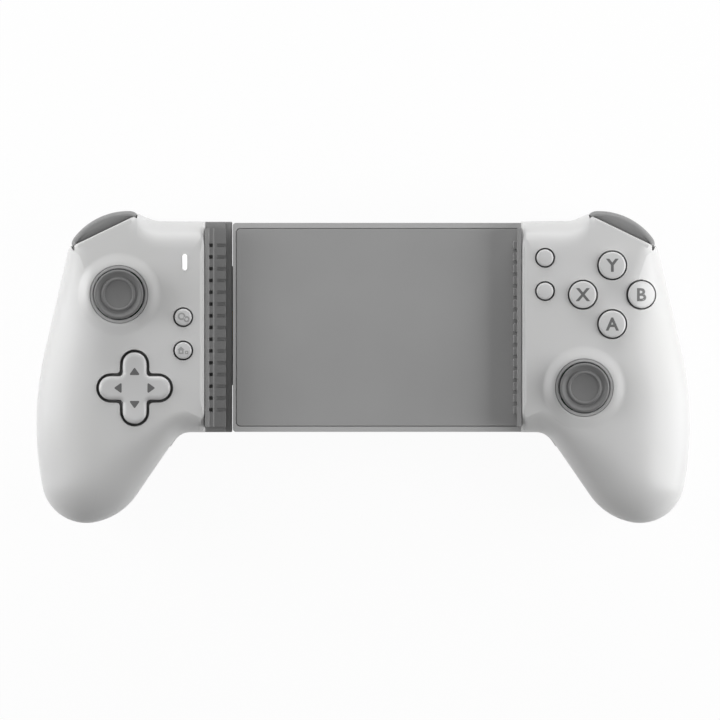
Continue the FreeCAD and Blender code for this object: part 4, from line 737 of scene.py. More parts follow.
# Each round key's spot, radius and top.
BIG, SMALL, KEY_GAP = (4.5, 48.0), (2.8, 47.2), 0.5
KEYS = {"y_button": ((83.0, 33.9), *BIG), "x_button": ((73.2, 24.1), *BIG),
        "b_button": ((92.8, 24.1), *BIG), "a_button": ((83.0, 14.3), *BIG),
        "menu_button_upper": ((60.6, 36.4), *SMALL), "menu_button_lower": ((60.6, 25.3), *SMALL),
        "function_button_upper": ((-60.0, 16.6), *SMALL),
        "function_button_lower": ((-60.0, 5.5), *SMALL)}
BOSSES, BOSS_RADIUS = ((58.5, -15.5), (69.0, 42.0), (91.0, -38.0)), 3.0
PAD_MIDDLE = (-76.2, -7.0)
PAD_SPAN, PAD_ARM, PAD_CORNER, PAD_GAP = 23.8, 7.9, 1.2, 0.95
LIGHT_SPOT, LIGHT_SLOT = (-59.5, 34.9), (1.6, 5.5)
STICK_HOLE, STICK_FLARE, STICK_SEAT, STICK_BOSS, STICK_FLOOR = 8.7, 0.2, 9.75, 15.9, 41.8
KEY_LOW, WINDOW_TOP = 28.0, 43.75
WINDOW = ((0.2, 7.0), (0.2, -0.5), (1.6, -2.3), (10.0, -2.6), (21.5, -3.4), (23.6, -2.9),
          (24.75, -1.6), (24.75, 7.0))
print("%d round keys, %d sticks, %d screw bosses a grip" % (len(KEYS), len(STICKS), len(BOSSES)))


# %% Build the front shells
def front_shell(side, extra):
    """A front shell with its mound, holes and shoulder window."""
    flip, stick = side == "left", STICKS[side]
    outer = [lifted(inset_loop(SEAM_MM), PART_Z), lifted(inset_loop(0.0), PART_Z + SEAM_MM),
             lifted(inset_loop(0.0), SIDE_Z)]
    shell = solid("shell", outer + face_rings(), flip, pole=True)
    space = solid("space", [lifted(inset_loop(0.0, SKIN), PART_Z - OVER)] + face_rings(SKIN), flip,
                  pole=True)
    carve(space, [post(sided(spot, flip), BOSS_RADIUS, PART_Z - 2 * OVER, FRONT_Z)
                  for spot in BOSSES] + [post(stick, STICK_BOSS, STICK_FLOOR, FRONT_Z, 96)])
    carve(shell, [mound(stick)], "UNION")
    tools = [space, wall_trim(flip),
             lathe("hole", flared(STICK_HOLE, PART_Z, SEAT_Z, STICK_FLARE), stick),
             post(stick, STICK_SEAT, SEAT_Z, MOUND_Z + 1, 96)]
    tools += [lathe("hole", flared(radius + KEY_GAP, KEY_LOW, float(face_height(*spot))), spot)
              for spot, radius, _ in KEYS.values() if (spot[0] < 0) == flip]
    along, out = np.array(WINDOW).T
    tools += [solid("window", [at_shoulder(along, out, z) for z in (PART_Z - OVER, WINDOW_TOP)],
                    flip)]
    finished(carve(shell, tools + extra), side + "_front_cover", "white_shell", side + "_grip",
             [side + "_front_shell"], weighted=True)


def cross_mouth(step, height):
    """The cross hole's outline, a step wider than its gap, at one height."""
    gap = PAD_GAP + step
    return cross_loop(PAD_SPAN + 2 * gap, PAD_ARM + 2 * gap, PAD_CORNER - step, height, PAD_MIDDLE)


crosses = [cross_mouth(0.0, height) for height in (KEY_LOW, FRONT_Z - FLARE)]
crosses += [cross_mouth(FLARE * (1 - math.cos(turn)), FRONT_Z - FLARE + FLARE * math.sin(turn))
            for turn in CORNER_ARC[1:]]
crosses += [crosses[-1] + (0, 0, OVER)]
lights = [slot_loop(*LIGHT_SPOT, *LIGHT_SLOT, height) for height in (KEY_LOW, FRONT_Z + OVER)]
# The charging socket opens through the upper edge of the right grip.
front_shell("right", [plate("mouth", oblong(55.9, 65.1, 41.0, 60.0), 31.45, 35.05)])
front_shell("left", [solid("mouth", crosses), solid("mouth", lights)])

# %% [markdown]
# ## Rear shells
# The palm swell is the largest smooth form of the part, so it gets thirty levels, closer
# together near the foot where it curves fastest. Behind each trigger a block carries the axle
# and reaches down to the table, so the part lies on four feet. Screws sit in deep round wells.
# The swell shrinks towards the palm, which would push the heel out below the front shell's edge,
# so both its outside and its hollow are kept inside that edge.

# %% Measures of the rear shells
REAR_STEPS, SPACE_STEPS, FOOT_CROWDING, SLACK = 30, 12, 1.6, 0.05
NOSE = ((-17.0, 28.8), (-4.6, 28.8), (-2.0, 23.5), (-9.6, 5.5), (-13.0, 0.0), (-19.5, 0.0),
        (-22.0, 13.0), (-18.0, 24.0))
NOSE_ROUNDS = (0.3, 1.5, 2.0, 5.0, 2.2, 2.2, 6.0, 0.3)
TRIGGER_ALONG, NOSE_ALONG = (2.2, 22.4), (4.1, 20.5)
AXLE_RADIUS, COIL_HALF, COIL_RADIUS = 3.2, 2.8, 2.6
WELL_WALL, WELL_RADIUS, WELL_TOP = 3.3, 2.4, 25.0
SLOT_GAP, SLOT_IN, SLOT_OUT = 0.3, -12.5, 6.0
TONGUE_Y = (-6.2, 33.9)
print("the axle is %.1f mm above the table" % AXLE_Z)


# %% Build the rear shells
def rear_shell(side, mouth):
    """A rear shell with its axle block, screw wells and openings."""
    flip, top = side == "left", PART_Z + OVER
    heights = (PART_Z - SEAM_MM) * np.linspace(0, 1, REAR_STEPS) ** FOOT_CROWDING
    outer = [rear_loop(height) for height in heights] + [rear_loop(PART_Z, seam=SEAM_MM)]
    shell = solid("shell", outer, flip)
    carve(shell, [plate("limit", inset_loop(-SLACK), -OVER, top, flip)], "INTERSECT")
    heights = np.linspace(SKIN + 0.4, PART_Z, SPACE_STEPS)
    inner = [rear_loop(height, SKIN) for height in heights] + [rear_loop(PART_Z, SKIN, lift=OVER)]
    space = solid("space", inner, flip)
    carve(space, [plate("limit", inset_loop(-SLACK, SKIN), -OVER, top + OVER, flip)], "INTERSECT")
    carve(space, [post(sided(spot, flip), WELL_WALL, -OVER, top + OVER) for spot in BOSSES])
    start, end = TRIGGER_ALONG[0] - SLOT_GAP, TRIGGER_ALONG[1] + SLOT_GAP
    slots = [(start, NOSE_ALONG[0], SLOT_IN), (NOSE_ALONG[1], end, SLOT_IN), (start, end, -0.6)]
    carve(shell, [space, wall_trim(flip)]
          + [shoulder_block(along, (inward, SLOT_OUT), -OVER, top, flip)
             for *along, inward in slots])
    block = across(rounded(NOSE, NOSE_ROUNDS, 6), *NOSE_ALONG, flip)
    carve(block, [axle_bar(*NOSE_ALONG, AXLE_RADIUS, flip)], "UNION")
    carve(shell, [block], "UNION")
    middle = sum(NOSE_ALONG) / 2
    coil = (middle - COIL_HALF, middle + COIL_HALF)
    low, high = AXLE_Z - COIL_RADIUS, AXLE_Z + COIL_RADIUS
    tools = [axle_bar(*coil, COIL_RADIUS, flip),
             shoulder_block(coil, (AXLE_OUT, 1.0), low, high, flip)]
    tools += [post(sided(spot, flip), WELL_RADIUS, -OVER, WELL_TOP) for spot in BOSSES]
    finished(carve(shell, tools + [mouth]), side + "_rear_cover", "white_shell", side + "_grip",
             [side + "_rear_shell"], weighted=True)


# The bridge's tenon enters the right grip, and the arm's tongue leaves the left one.
rear_shell("right", plate("mouth", oblong(50, 58.0, -9.1, 36.8), 22.4, 34))
rear_shell("left", plate("mouth", oblong(-61.2, -50, *TONGUE_Y), 23.0, 28.5))

# %% [markdown]
# ## Bumpers
# A bumper is bowed: seen from the front its outer edge is an arc. Bending a block by a modifier
# would also bend its ends, so the arc is part of an outline. That outline is repeated at several
# heights and drawn in near the top and bottom, which rounds the edges.

# %% Outline of a bumper
BUMPER_ALONG, BUMPER_Z = (0.35, 24.3), (30.6, 43.4)
BUMPER_RISE, BUMPER_SIDE, BUMPER_BACK = 4.4, 1.0, -1.6
BUMPER_FOOT, BUMPER_CROWN, BUMPER_FALL = (1.0, 1.0), (1.6, 2.6), 3.2
BOW_STEPS, END_DRAW, END_ROUND, END_PARTS, THIN = 48, 0.6, 0.9, 14, 0.3
TIP_TAPER, TIP_SLOPE = 1.3, 0.8
LUG_SPOT, LUG_Z, LUG_RADIUS, PIN_RADIUS = (4.0, -6.0), (34.5, 39.5), 2.2, 1.06


def bow(along, inset=0.0):
    """How far out the arc through both ends is: root(r^2 - (a - mid)^2) - (r - rise)."""
    half = (BUMPER_ALONG[1] - BUMPER_ALONG[0]) / 2
    sag = BUMPER_RISE - BUMPER_SIDE
    radius = (half ** 2 + sag ** 2) / (2 * sag)
    lean = along - sum(BUMPER_ALONG) / 2
    return np.sqrt(np.maximum(radius ** 2 - lean ** 2, 0)) - radius + BUMPER_RISE - inset


def bumper_loop(inset, height, back=0.0):
    """The bumper's outline at one height: an arc outside, rounded ends, a tapered inner side.

    At an end the arc draws in by a quarter circle: round * (1 - root(1 - (1 - m)^2)), and m goes
    from 0 to 1 over a fourteenth of the length.
    """
    share = (1 - np.cos(np.linspace(0, math.pi, BOW_STEPS))) / 2
    start, end = BUMPER_ALONG[0] + inset * END_DRAW, BUMPER_ALONG[1] - inset * END_DRAW
    along = end + (start - end) * share
    near = np.minimum(1, np.minimum(share, 1 - share) * END_PARTS)
    ends = END_ROUND * (1 - np.sqrt(1 - (1 - near) ** 2))
    out = np.maximum(bow(along, inset) - ends, BUMPER_BACK + THIN)
    tip = np.minimum(along - start, end - along)
    inner = np.minimum(BUMPER_BACK + back + np.maximum(0, TIP_TAPER - TIP_SLOPE * tip), out - THIN)
    ring = np.vstack([np.column_stack([along, out]), np.column_stack([along, inner])[-2:0:-1]])
    return at_shoulder(ring[:, 0], ring[:, 1], height)


print("a bumper stands out by %.1f mm" % bow(sum(BUMPER_ALONG) / 2))


# %% Build the bumpers
def bumper(side):
    """A bumper: loops drawn in by e (1 - cos t) as the height rises by h sin t, top and bottom.

    The top also slopes down towards the shell, which makes the dark band along its inner side.
    """
    flip = side == "left"
    turns = np.linspace(0, math.pi / 2, 10)
    (low_in, low_rise), (high_in, high_rise) = BUMPER_FOOT, BUMPER_CROWN
    low = [bumper_loop(low_in * (1 - math.cos(t)), BUMPER_Z[0] + low_rise - low_rise * math.sin(t))
           for t in turns[::-1]]
    high = [bumper_loop(high_in * (1 - math.cos(t)),
                        BUMPER_Z[1] - high_rise + high_rise * math.sin(t),
                        BUMPER_FALL * math.sin(t) ** 4) for t in turns]
    key = solid("key", low + high, flip)
    spot = sided(at_shoulder(*LUG_SPOT, 0.0)[:2], flip)
    arm = (LUG_SPOT[0] - LUG_RADIUS, LUG_SPOT[0] + LUG_RADIUS)
    carve(key, [post(spot, LUG_RADIUS, *LUG_Z),
                shoulder_block(arm, (LUG_SPOT[1], -1.0), *LUG_Z, flip)], "UNION")
    carve(key, [post(spot, PIN_RADIUS, LUG_Z[0] - 1.5, LUG_Z[1] + 1.5)])
    finished(key, side + "_bumper_key", "grey_keys", side + "_bumper", [side + "_bumper"])


for side in ("right", "left"):
    bumper(side)

# %% [markdown]
# ## Triggers
# A trigger's face bows as the bumper's does and is also shaped up and down, with a waist for the
# fingertip. It could be sculpted, but not twice alike. Here the curve that lies further in wins
# at each point, and a soft minimum blends the two, so there is no crease.

# %% Face of a trigger
TRIGGER_Z = (2.6, 29.6)
FACE_Z = np.array([29.6, 22.85, 16.1, 8.0, 2.6])
FACE_OUT = np.array([3.4, 3.4, 2.0, 0.6, 1.2])
FACE_CURVE = np.polyfit(FACE_Z, FACE_OUT, 4)
CHEEK_Z, CHEEK_OUT = (2.6, 22.0, 25.6, 29.2, 29.6), (-2.0, -8.0, -8.0, -4.6, 0.2)
TRIGGER_WALL, BLEND = 1.6, 2.2
TRIGGER_ROOM, TRIGGER_BORE, FAR_BACK = 3.5, 1.3, -40.0


def face_out(along, height, wall=0.0):
    """The trigger's face: -log(exp(-k a) + exp(-k b)) / k of the bow and the side curve."""
    first, second = bow(along, 0.9), np.polyval(FACE_CURVE, height)
    low, high = np.minimum(first, second), np.maximum(first, second)
    return low - np.log1p(np.exp(-BLEND * (high - low))) / BLEND - wall


print("the waist of a trigger is %.1f mm out" % face_out(sum(TRIGGER_ALONG) / 2, FACE_Z[3]))


# %% Build the triggers
def trigger(side):
    """A trigger: a loop at each height runs along the face and back round the cheeks."""
    flip = side == "left"

    def loops(heights, wall):
        start, end = TRIGGER_ALONG[0] + wall, TRIGGER_ALONG[1] - wall
        share = (1 - np.cos(np.linspace(0, math.pi, 40))) / 2
        rings = []
        for height in heights:
            curve_z = min(max(height, TRIGGER_Z[0]), TRIGGER_Z[1])
            back = FAR_BACK if wall else np.interp(curve_z, CHEEK_Z, CHEEK_OUT)
            along = end + (start - end) * share
            out = face_out(along, curve_z, wall)
            rings.append(at_shoulder(np.append(along, [start, end]), np.append(out, [back, back]),
                                     height))
        return rings

    inner_start, inner_end = TRIGGER_ALONG[0] + TRIGGER_WALL, TRIGGER_ALONG[1] - TRIGGER_WALL
    lever = solid("lever", loops(np.linspace(*TRIGGER_Z, 40), 0.0), flip)
    room = solid("room", loops(np.linspace(TRIGGER_Z[0] - 1, TRIGGER_Z[1] + 1, 30), TRIGGER_WALL),
                 flip)
    carve(lever, [room, axle_bar(inner_start, inner_end, TRIGGER_ROOM, flip),
                  axle_bar(TRIGGER_ALONG[0] - 1, TRIGGER_ALONG[1] + 1, TRIGGER_BORE, flip)])
    finished(lever, side + "_trigger_lever", "grey_keys", side + "_trigger", [side + "_trigger"],
             bevel_mm=0.35)


for side in ("right", "left"):
    trigger(side)

# %% [markdown]
# ## Round buttons
# A button is a moulded cap on a wider plug, which keeps it in its hole. A bevelled cylinder would
# have a flat top. A turned profile gives the very slight dome, and a rim that is rounded over
# about 0.7 mm and draws the bright ring that the photograph shows.

# %% Tops of the buttons
CAP_EDGE, CAP_DROP, CAP_DOME = 0.8, 0.6, 0.25
PLUG_LOW, PLUG_TOP, PLUG_FLANGE = 36.4, 41.0, 0.8


def button_top(distance, radius, top):
    """Height of a button's dome: the top less dome times (r / radius) squared."""
    return top - CAP_DOME * (distance / radius) ** 2


def slant(x, y):
    """How far the face lies under its highest level, so that a key's top runs along with it."""
    return FRONT_Z - face_height(x, y)


print("a button's dome is %.2f mm high" % (BIG[1] - button_top(BIG[0], *BIG)))


# %% Build the buttons
def button(name, spot, radius, top):
    """A round button with a domed top and a rounded rim, whose top follows the face's slope."""
    crown, flange = radius - CAP_EDGE, radius + PLUG_FLANGE
    rim = [(crown + CAP_EDGE * math.cos(turn),
            button_top(crown, radius, top) - CAP_DROP + CAP_DROP * math.sin(turn))
           for turn in np.linspace(0, math.pi / 2, 8)]
    dome = [(r, button_top(r, radius, top)) for r in np.linspace(crown, 0, 8)[1:]]
    plug = [(0, PLUG_LOW), (flange, PLUG_LOW), (flange, PLUG_TOP), (radius, PLUG_TOP)]

    def slanted(co):
        drop = slant(co[:, 0], co[:, 1]) * (co[:, 2] > PLUG_TOP + 1)
        return co - drop[:, None] * (0, 0, 1)

    finished(reshaped(lathe("cap", plug + rim + dome, spot), slanted), name + "_cap",
             "white_keys", name, [name])


for name, facts in KEYS.items():
    button(name, *facts)

# %% [markdown]
# ## Letters and icons
# The marks are thin prints that lie on the domes and ride with their buttons. An image would
# blur from near, so they are meshes. The letters come from Blender's own font, made a little
# bolder, and are laid on the dome point by point. The icons and arrows are filled outlines.

# %% Lay a print on a key
PRINT_LIFT, PRINT_THICK, PRINT_MERGE = 0.02, 0.12, 0.001


def laid(name, outlines, height_of, slot, body):
    """Flat outlines as a thin print: filled by a curve, then laid on a surface."""
    curve = bpy.data.curves.new(name, "CURVE")
    curve.dimensions, curve.fill_mode = "2D", "BOTH"
    for outline in outlines:
        line = curve.splines.new("POLY")
        line.points.add(len(outline) - 1)
        flat = np.column_stack([outline, np.zeros(len(outline)), np.ones(len(outline))])
        line.points.foreach_set("co", flat.ravel())
        line.use_cyclic_u = True
    settle(name, curve, height_of, slot, body)


def settle(name, curve, height_of, slot, body, move=(0.0, 0.0)):
    """Turn a flat curve or text, in millimetres, into a thin mesh that lies on a surface.

    Each point's height is the surface's there, plus its own height in the print.
    """
    holder = placed(name, curve)
    graph = bpy.context.evaluated_depsgraph_get()
    mesh = bpy.data.meshes.new_from_object(holder.evaluated_get(graph))
    bpy.data.objects.remove(holder)
    form = bmesh.new()
    form.from_mesh(mesh)
    bmesh.ops.remove_doubles(form, verts=form.verts, dist=PRINT_MERGE)
    bmesh.ops.subdivide_edges(form, edges=form.edges, cuts=1, use_grid_fill=False)
    bmesh.ops.triangulate(form, faces=form.faces)
    raised = bmesh.ops.extrude_face_region(form, geom=form.faces[:])["geom"]
    tops = [item for item in raised if isinstance(item, bmesh.types.BMVert)]
    bmesh.ops.translate(form, vec=(0, 0, PRINT_THICK), verts=tops)
    bmesh.ops.recalc_face_normals(form, faces=form.faces)
    bmesh.ops.scale(form, vec=(MM, MM, MM), verts=form.verts)
    form.to_mesh(mesh)
    form.free()

    def dropped(co):
        x, y = co[:, 0] + move[0], co[:, 1] + move[1]
        return np.column_stack([x, y, height_of(x, y) + co[:, 2] + PRINT_LIFT - PRINT_THICK])

    made = reshaped(placed(name, mesh), dropped)
    mesh.shade_flat()
    mesh.materials.append(materials[slot])
    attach(made, body)
    print("%-28s %6d points on %s" % (name, len(mesh.vertices), body))


print("prints stand %.2f mm above a key" % PRINT_LIFT)


# %% Letters
LETTER_MM, BOLD_MM = 5.9, 0.17


def key_top(name):
    """The rule that gives the height of a key's top at any point of it."""
    spot, radius, top = KEYS[name]
    return lambda x, y: (button_top(np.hypot(x - spot[0], y - spot[1]), radius, top)
                         - slant(x, y))


def letter(capital, name):
    """A bold capital centred on its button."""
    curve = bpy.data.curves.new("letter", "FONT")
    curve.body, curve.size, curve.offset, curve.resolution_u = capital, LETTER_MM, BOLD_MM, 3
    curve.align_x, curve.align_y = "CENTER", "CENTER"
    holder = placed("measure", curve)
    bpy.context.view_layer.update()
    middle = sum((Vector(corner) for corner in holder.bound_box), Vector()) / 8
    bpy.data.objects.remove(holder)
    spot = KEYS[name][0]
    settle(name + "_letter", curve, key_top(name), "print", name,
           (spot[0] - middle.x, spot[1] - middle.y))


for capital, name in zip("YXBA", KEYS):
    letter(capital, name)

# %% Icons
# A pair of linked rings, and a house beside a box. Each second outline is a hole in the one
# before it.
ICON_SCALE = 1.2
RINGS = [arc(centre, radius, 0, 345, 24) for centre, radius in (
    ((-0.45, 0.25), 1.05), ((-0.45, 0.25), 0.6), ((0.95, -0.55), 0.85), ((0.95, -0.55), 0.42))]
HOUSE = [[(-1.3, -1.0), (0.1, -1.0), (0.1, 0.2), (0.4, 0.2), (-0.6, 1.1), (-1.6, 0.2),
          (-1.3, 0.2)], oblong(-0.85, -0.35, -0.6, 0.0),
         oblong(0.5, 1.4, -1.0, -0.1), oblong(0.75, 1.15, -0.75, -0.35)]
for name, outlines in (("function_button_upper", RINGS), ("function_button_lower", HOUSE)):
    laid(name + "_icon", [ICON_SCALE * np.asarray(outline) + KEYS[name][0] for outline in outlines],
         key_top(name), "faint_print", name)

# %% [markdown]
# ## Direction pad
# The pad is one white key with four arms. Its rim rolls over, and its top is dished so that the
# thumb finds the middle. Two crossed bars would show where they meet, so each level is one cross
# outline scaled towards the middle. Its height rises with the square of the distance from there.

# %% Build the direction pad
PAD_TOP, PAD_DISH, PAD_EDGE, PAD_DROP = 47.7, 0.9, 1.7, 1.3
PAD_FLANGE, FLANGE_Z = 1.1, (39.0, 40.6)


def pad_height(x, y):
    """Height of the dished top: the top less the dish times (1 - (r / R) squared)."""
    reach = np.hypot(x - PAD_MIDDLE[0], y - PAD_MIDDLE[1])
    return PAD_TOP - PAD_DISH * (1 - np.minimum(1, reach / (PAD_SPAN / 2)) ** 2)


def pad_ring(grow, height=0.0):
    """The pad's outline made wider by an amount, at one height."""
    return cross_loop(PAD_SPAN + 2 * grow, PAD_ARM + 2 * grow, PAD_CORNER - grow, height,
                      PAD_MIDDLE)


def on_dish(ring, drop=0.0):
    """A ring laid on the dished top, or some way under it."""
    return np.column_stack([ring[:, :2], pad_height(ring[:, 0], ring[:, 1]) - drop])


pad_levels = [pad_ring(PAD_FLANGE, FLANGE_Z[0]), pad_ring(PAD_FLANGE, FLANGE_Z[1]),
              pad_ring(0.0, FLANGE_Z[1])]
pad_levels += [on_dish(pad_ring(-PAD_EDGE * (1 - math.cos(turn))), PAD_DROP * (1 - math.sin(turn)))
               for turn in np.linspace(0, math.pi / 2, 10)]
rim, middle = pad_levels[-1], np.array([*PAD_MIDDLE, 0])
pad_levels += [on_dish((rim - middle) * share + middle) for share in np.linspace(1, 0, 16)[1:]]
finished(solid("pad", pad_levels, pole=True), "direction_pad_key", "white_keys",
         "direction_pad", ["direction_pad"])

arrow = rounded([(4.3, -1.85), (6.9, 0.0), (4.3, 1.85)], 0.3, 4)
for way, turn in zip(("right", "up", "left", "down"), QUARTER_TURNS):
    laid("direction_arrow_" + way, [arrow @ turn + PAD_MIDDLE], pad_height, "print",
         "direction_pad")

# %% [markdown]
# ## Thumb sticks
# Each stick shows three turned pieces: the fixed collar in its mound, the dark dome that covers
# the works in the hole, and the rubber cap. The cap has a rounded rim, a groove, a raised ridge
# and a dished middle. Its edge is fluted for grip. Sixty flutes could be cut one by one, but a
# wave that moves the points of the edge is quicker and leaves an even grid.

# %% Build the sticks
CENTRE_Z, CROWN_Z, SHAFT_TOP, CAP_TOP = 36.5, 46.1, 51.4, 54.5
SHAFT, DOME_IN, DOME_OUT = 1.95, 8.8, 9.6
FLUTES, FLUTE_DEPTH, FLUTE_Z, FLUTE_FROM = 60, 0.16, (51.6, 53.6), 8.1

collar_profile = np.vstack([[(8.6, SEAT_Z), (9.65, SEAT_Z)], arc((9.35, 46.35), 0.3, 0, 90),
                            arc((8.95, 46.3), 0.35, 90, 180)])
dome_profile = np.vstack([[(0, 33.5), (0.8, 33.5), (1.6, 34.3), (1.6, 44.9)],
                          arc((0, CENTRE_Z), DOME_IN, 78, 48, 12),
                          arc((0, CENTRE_Z), DOME_OUT, 48, 79, 16),
                          [(SHAFT, 46.0), (SHAFT, SHAFT_TOP), (0, SHAFT_TOP)]])
dish = np.linspace(1, 0, 12)
cap_profile = np.vstack([
    [(SHAFT, CROWN_Z), (3.6, CROWN_Z)], arc((3.6, CROWN_Z + 0.4), 0.4, -90, 0, 5),
    [(4.0, 49.0), (4.3, 49.8), (5.2, 50.25), (7.6, 51.0)], arc((7.65, 51.65), 0.55, -60, 0, 6),
    [(8.2, 53.4)], arc((7.6, 53.9), 0.6, 0, 110, 10),
    [(6.9, CAP_TOP - 0.4), (6.2, CAP_TOP - 0.75)], arc((5.9, CAP_TOP - 0.6), 0.25, -60, -150, 5),
    arc((5.1, CAP_TOP - 0.6), 0.5, 20, 140, 10),
    np.column_stack([4.6 * dish, CAP_TOP - 1.05 + 0.4 * dish ** 2]),
    [(0, SHAFT_TOP), (SHAFT, SHAFT_TOP)]])


def fluted(made, centre):
    """Grooves round the rim: radius less depth times (0.5 + 0.5 cos 60 a) squared, on its side."""

    def grooved(co):
        flat = co[:, :2] - centre
        reach = np.linalg.norm(flat, axis=1)
        on_side = (reach > FLUTE_FROM) & (co[:, 2] > FLUTE_Z[0]) & (co[:, 2] < FLUTE_Z[1])
        angle = np.arctan2(flat[:, 1], flat[:, 0])
        notch = FLUTE_DEPTH * (0.5 + 0.5 * np.cos(FLUTES * angle)) ** 2 * on_side
        flat *= (1 - notch / np.maximum(reach, 1))[:, None]
        return np.column_stack([flat + centre, co[:, 2]])

    return reshaped(made, grooved)


for side, spot in STICKS.items():
    finished(lathe("collar", collar_profile, spot, 128), side + "_stick_collar", "ring_grey",
             side + "_grip", [side + "_stick_ring"])
    finished(lathe("dome", dome_profile, spot), side + "_stick_stem", "inner_black",
             side + "_stick", [side + "_stick_shaft"])
    finished(fluted(lathe("cap", cap_profile, spot, 480), spot), side + "_stick_grip",
             "stick_rubber", side + "_stick", [side + "_stick_cap"])

# %% [markdown]
# ## Indicator light
# A round-ended slot in the left face holds the end of a clear light guide. A lit patch on the
# shell would have no edge, so it is a piece of its own: a stack of the slot's outline, flush
# with the face and faintly bevelled.

# %% Light guide
guide = [slot_loop(*LIGHT_SPOT, width, length, height) for width, length, height in (
    (3.4, 7.3, 42.7), (3.4, 7.3, 43.9), (1.4, 5.3, 43.9), (1.4, 5.3, 45.65), (1.1, 5.0, 45.8))]
finished(solid("guide", guide), "indicator_window", "light_guide", "left_grip", ["light_pipe"])

# %% [markdown]
# ## The bridge
# The bridge is a shallow tray. Its light frame is one moulding with the case below, and the mat
# lies in it with a hairline gap all round. Plates with rounded corners are cut from each other
# and every edge gets a small bevel, because a perfectly sharp edge never catches light.

# %% Case, cover and mat
BRIDGE = (-43.6, 52.8, -21.7, 48.2)
BRIDGE_LOOP = rounded(oblong(*BRIDGE), (1.0, 0.3, 0.3, 1.0))
BACK_Z, COVER_Z, CHANNEL_Z, POCKET_Z, TRAY_Z, BED_Z = 21.0, 22.6, 28.3, 29.5, 31.5, 33.0
TRAY = (BRIDGE[0] + 1.0, BRIDGE[1] + 2, BRIDGE[2] + 1.75, BRIDGE[3] - 1.75)
LUG_Y, STOP_X, MAT_GAP = (-7.4, 35.1), -20.2, 0.2
BRIDGE_SCREWS = [(x, y) for x in (-37.6, 46.8) for y in (-15.7, 42.2)]

case = plate("case", BRIDGE_LOOP, COVER_Z, BED_Z)
carve(case, [plate("tray", rounded(oblong(*TRAY), (1.6, 0.3, 0.3, 1.6)), TRAY_Z, BED_Z + 1)]
      + [plate("channel", oblong(low, 53.5, *wide), COVER_Z - 1, CHANNEL_Z)
         for low, wide in ((-46, TONGUE_Y), (STOP_X, LUG_Y))]
      + [plate("pocket", oblong(-41.2, 50.4, *wide), COVER_Z - 1, POCKET_Z)
         for wide in ((-19.3, -9.8), (37.3, 45.8))])
carve(case, [plate("tenon", oblong(52.7, 57.8, -8.9, 36.6), COVER_Z + 0.2, 29.7)], "UNION")
carve(case, [plate("channel", oblong(52, 59, *LUG_Y), COVER_Z - 1, CHANNEL_Z)])
finished(case, "bridge_tray", "bridge_grey", "right_grip", ["bridge_case"], bevel_mm=0.25)

cover = plate("cover", BRIDGE_LOOP, BACK_Z, COVER_Z)
carve(cover, [post(spot, 2.45, BACK_Z - 1, BACK_Z + 1.0) for spot in BRIDGE_SCREWS])
finished(cover, "bridge_back", "bridge_grey", "right_grip", ["bridge_rear_cover"], bevel_mm=0.25)

mat = oblong(TRAY[0] + MAT_GAP, BRIDGE[1] - MAT_GAP, TRAY[2] + MAT_GAP, TRAY[3] - MAT_GAP)
finished(plate("mat", rounded(mat, (1.4, 0.2, 0.2, 1.4)), TRAY_Z, BED_Z), "phone_mat",
         "mat_grey", "right_grip", ["bridge_mat"], bevel_mm=0.2)

# %% [markdown]
# ## The sliding arm
# The dark ledge belongs to the left grip. From it a wide tongue runs through the bridge, which
# shows when the grips are pulled apart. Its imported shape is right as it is, so a merged copy of
# it only gets small bevels.

# %% Copies with softened edges
COPY_MERGE, COPY_FLAT = 0.002, math.radians(1)


def softened_copy(node, name, slot, body, bevel_mm):
    """A CAD node's shape, merged and with its flat faces joined, with bevelled edges."""
    form = bmesh.new()
    form.from_mesh(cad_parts[node].data)
    bmesh.ops.remove_doubles(form, verts=form.verts, dist=COPY_MERGE * MM)
    bmesh.ops.dissolve_limit(form, angle_limit=COPY_FLAT, verts=form.verts, edges=form.edges)
    mesh = bpy.data.meshes.new(name)
    form.to_mesh(mesh)
    form.free()
    finished(placed(name, mesh), name, slot, body, [node], bevel_mm=bevel_mm)


softened_copy("sliding_arm", "arm_ledge", "arm_grey", "left_grip", 0.25)

# %% [markdown]
# ## The ribbed rubber pads
# The left one is an angle moulding: a strip on the ledge, a small step, and a thin wall up the
# grip. Its section is drawn once and carried along Y, and fifteen grooves cross the strip and the
# wall, 3.93 mm apart. Grooves drawn by bump alone would vanish from the side, so they are cut.
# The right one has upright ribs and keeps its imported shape, with bevels.

# %% Ribbed pads
PAD_PITCH, PAD_COUNT, GROOVE_HALF, GROOVE_Z = 3.93, 15, 0.6, 32.2
PAD_Y = (-20.0, 46.4)
PAD_ROWS = sum(PAD_Y) / 2 + PAD_PITCH * (np.arange(PAD_COUNT) - PAD_COUNT // 2)

pad_side = np.vstack([[(-52.8, 31.5), (-46.0, 31.5), (-46.0, 32.8), (-46.1, 32.9), (-49.8, 32.9)],
                      arc((-50.3, 33.15), 0.4, 0, 90, 6), [(-51.4, 33.55)],
                      arc((-51.7, 43.7), 0.3, 0, 90, 5), arc((-52.5, 43.7), 0.3, 90, 180, 5)])
left_pad = solid("pad", [np.insert(pad_side, 1, y, axis=1) for y in PAD_Y[::-1]])
grooves = [plate("groove", oblong(low, high, y - GROOVE_HALF, y + GROOVE_HALF), GROOVE_Z, top)
           for low, high, top in ((-48.9, -45.9, 34), (-52.1, -50.3, 42.8)) for y in PAD_ROWS]
finished(carve(left_pad, grooves), "left_ribbed_pad", "pad_rubber", "left_grip",
         ["left_phone_pad"])
softened_copy("right_phone_pad", "right_ribbed_pad", "pad_rubber", "right_grip", 0.25)

# %% [markdown]
# ## The flat cable
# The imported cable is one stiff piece. Here it is the two ends of a folded one: the upper layer
# stays under the roof of the bridge and the lower one lies on the tongue and leaves with it. They
# still lap by a millimetre or two when the grips are pulled fully apart.

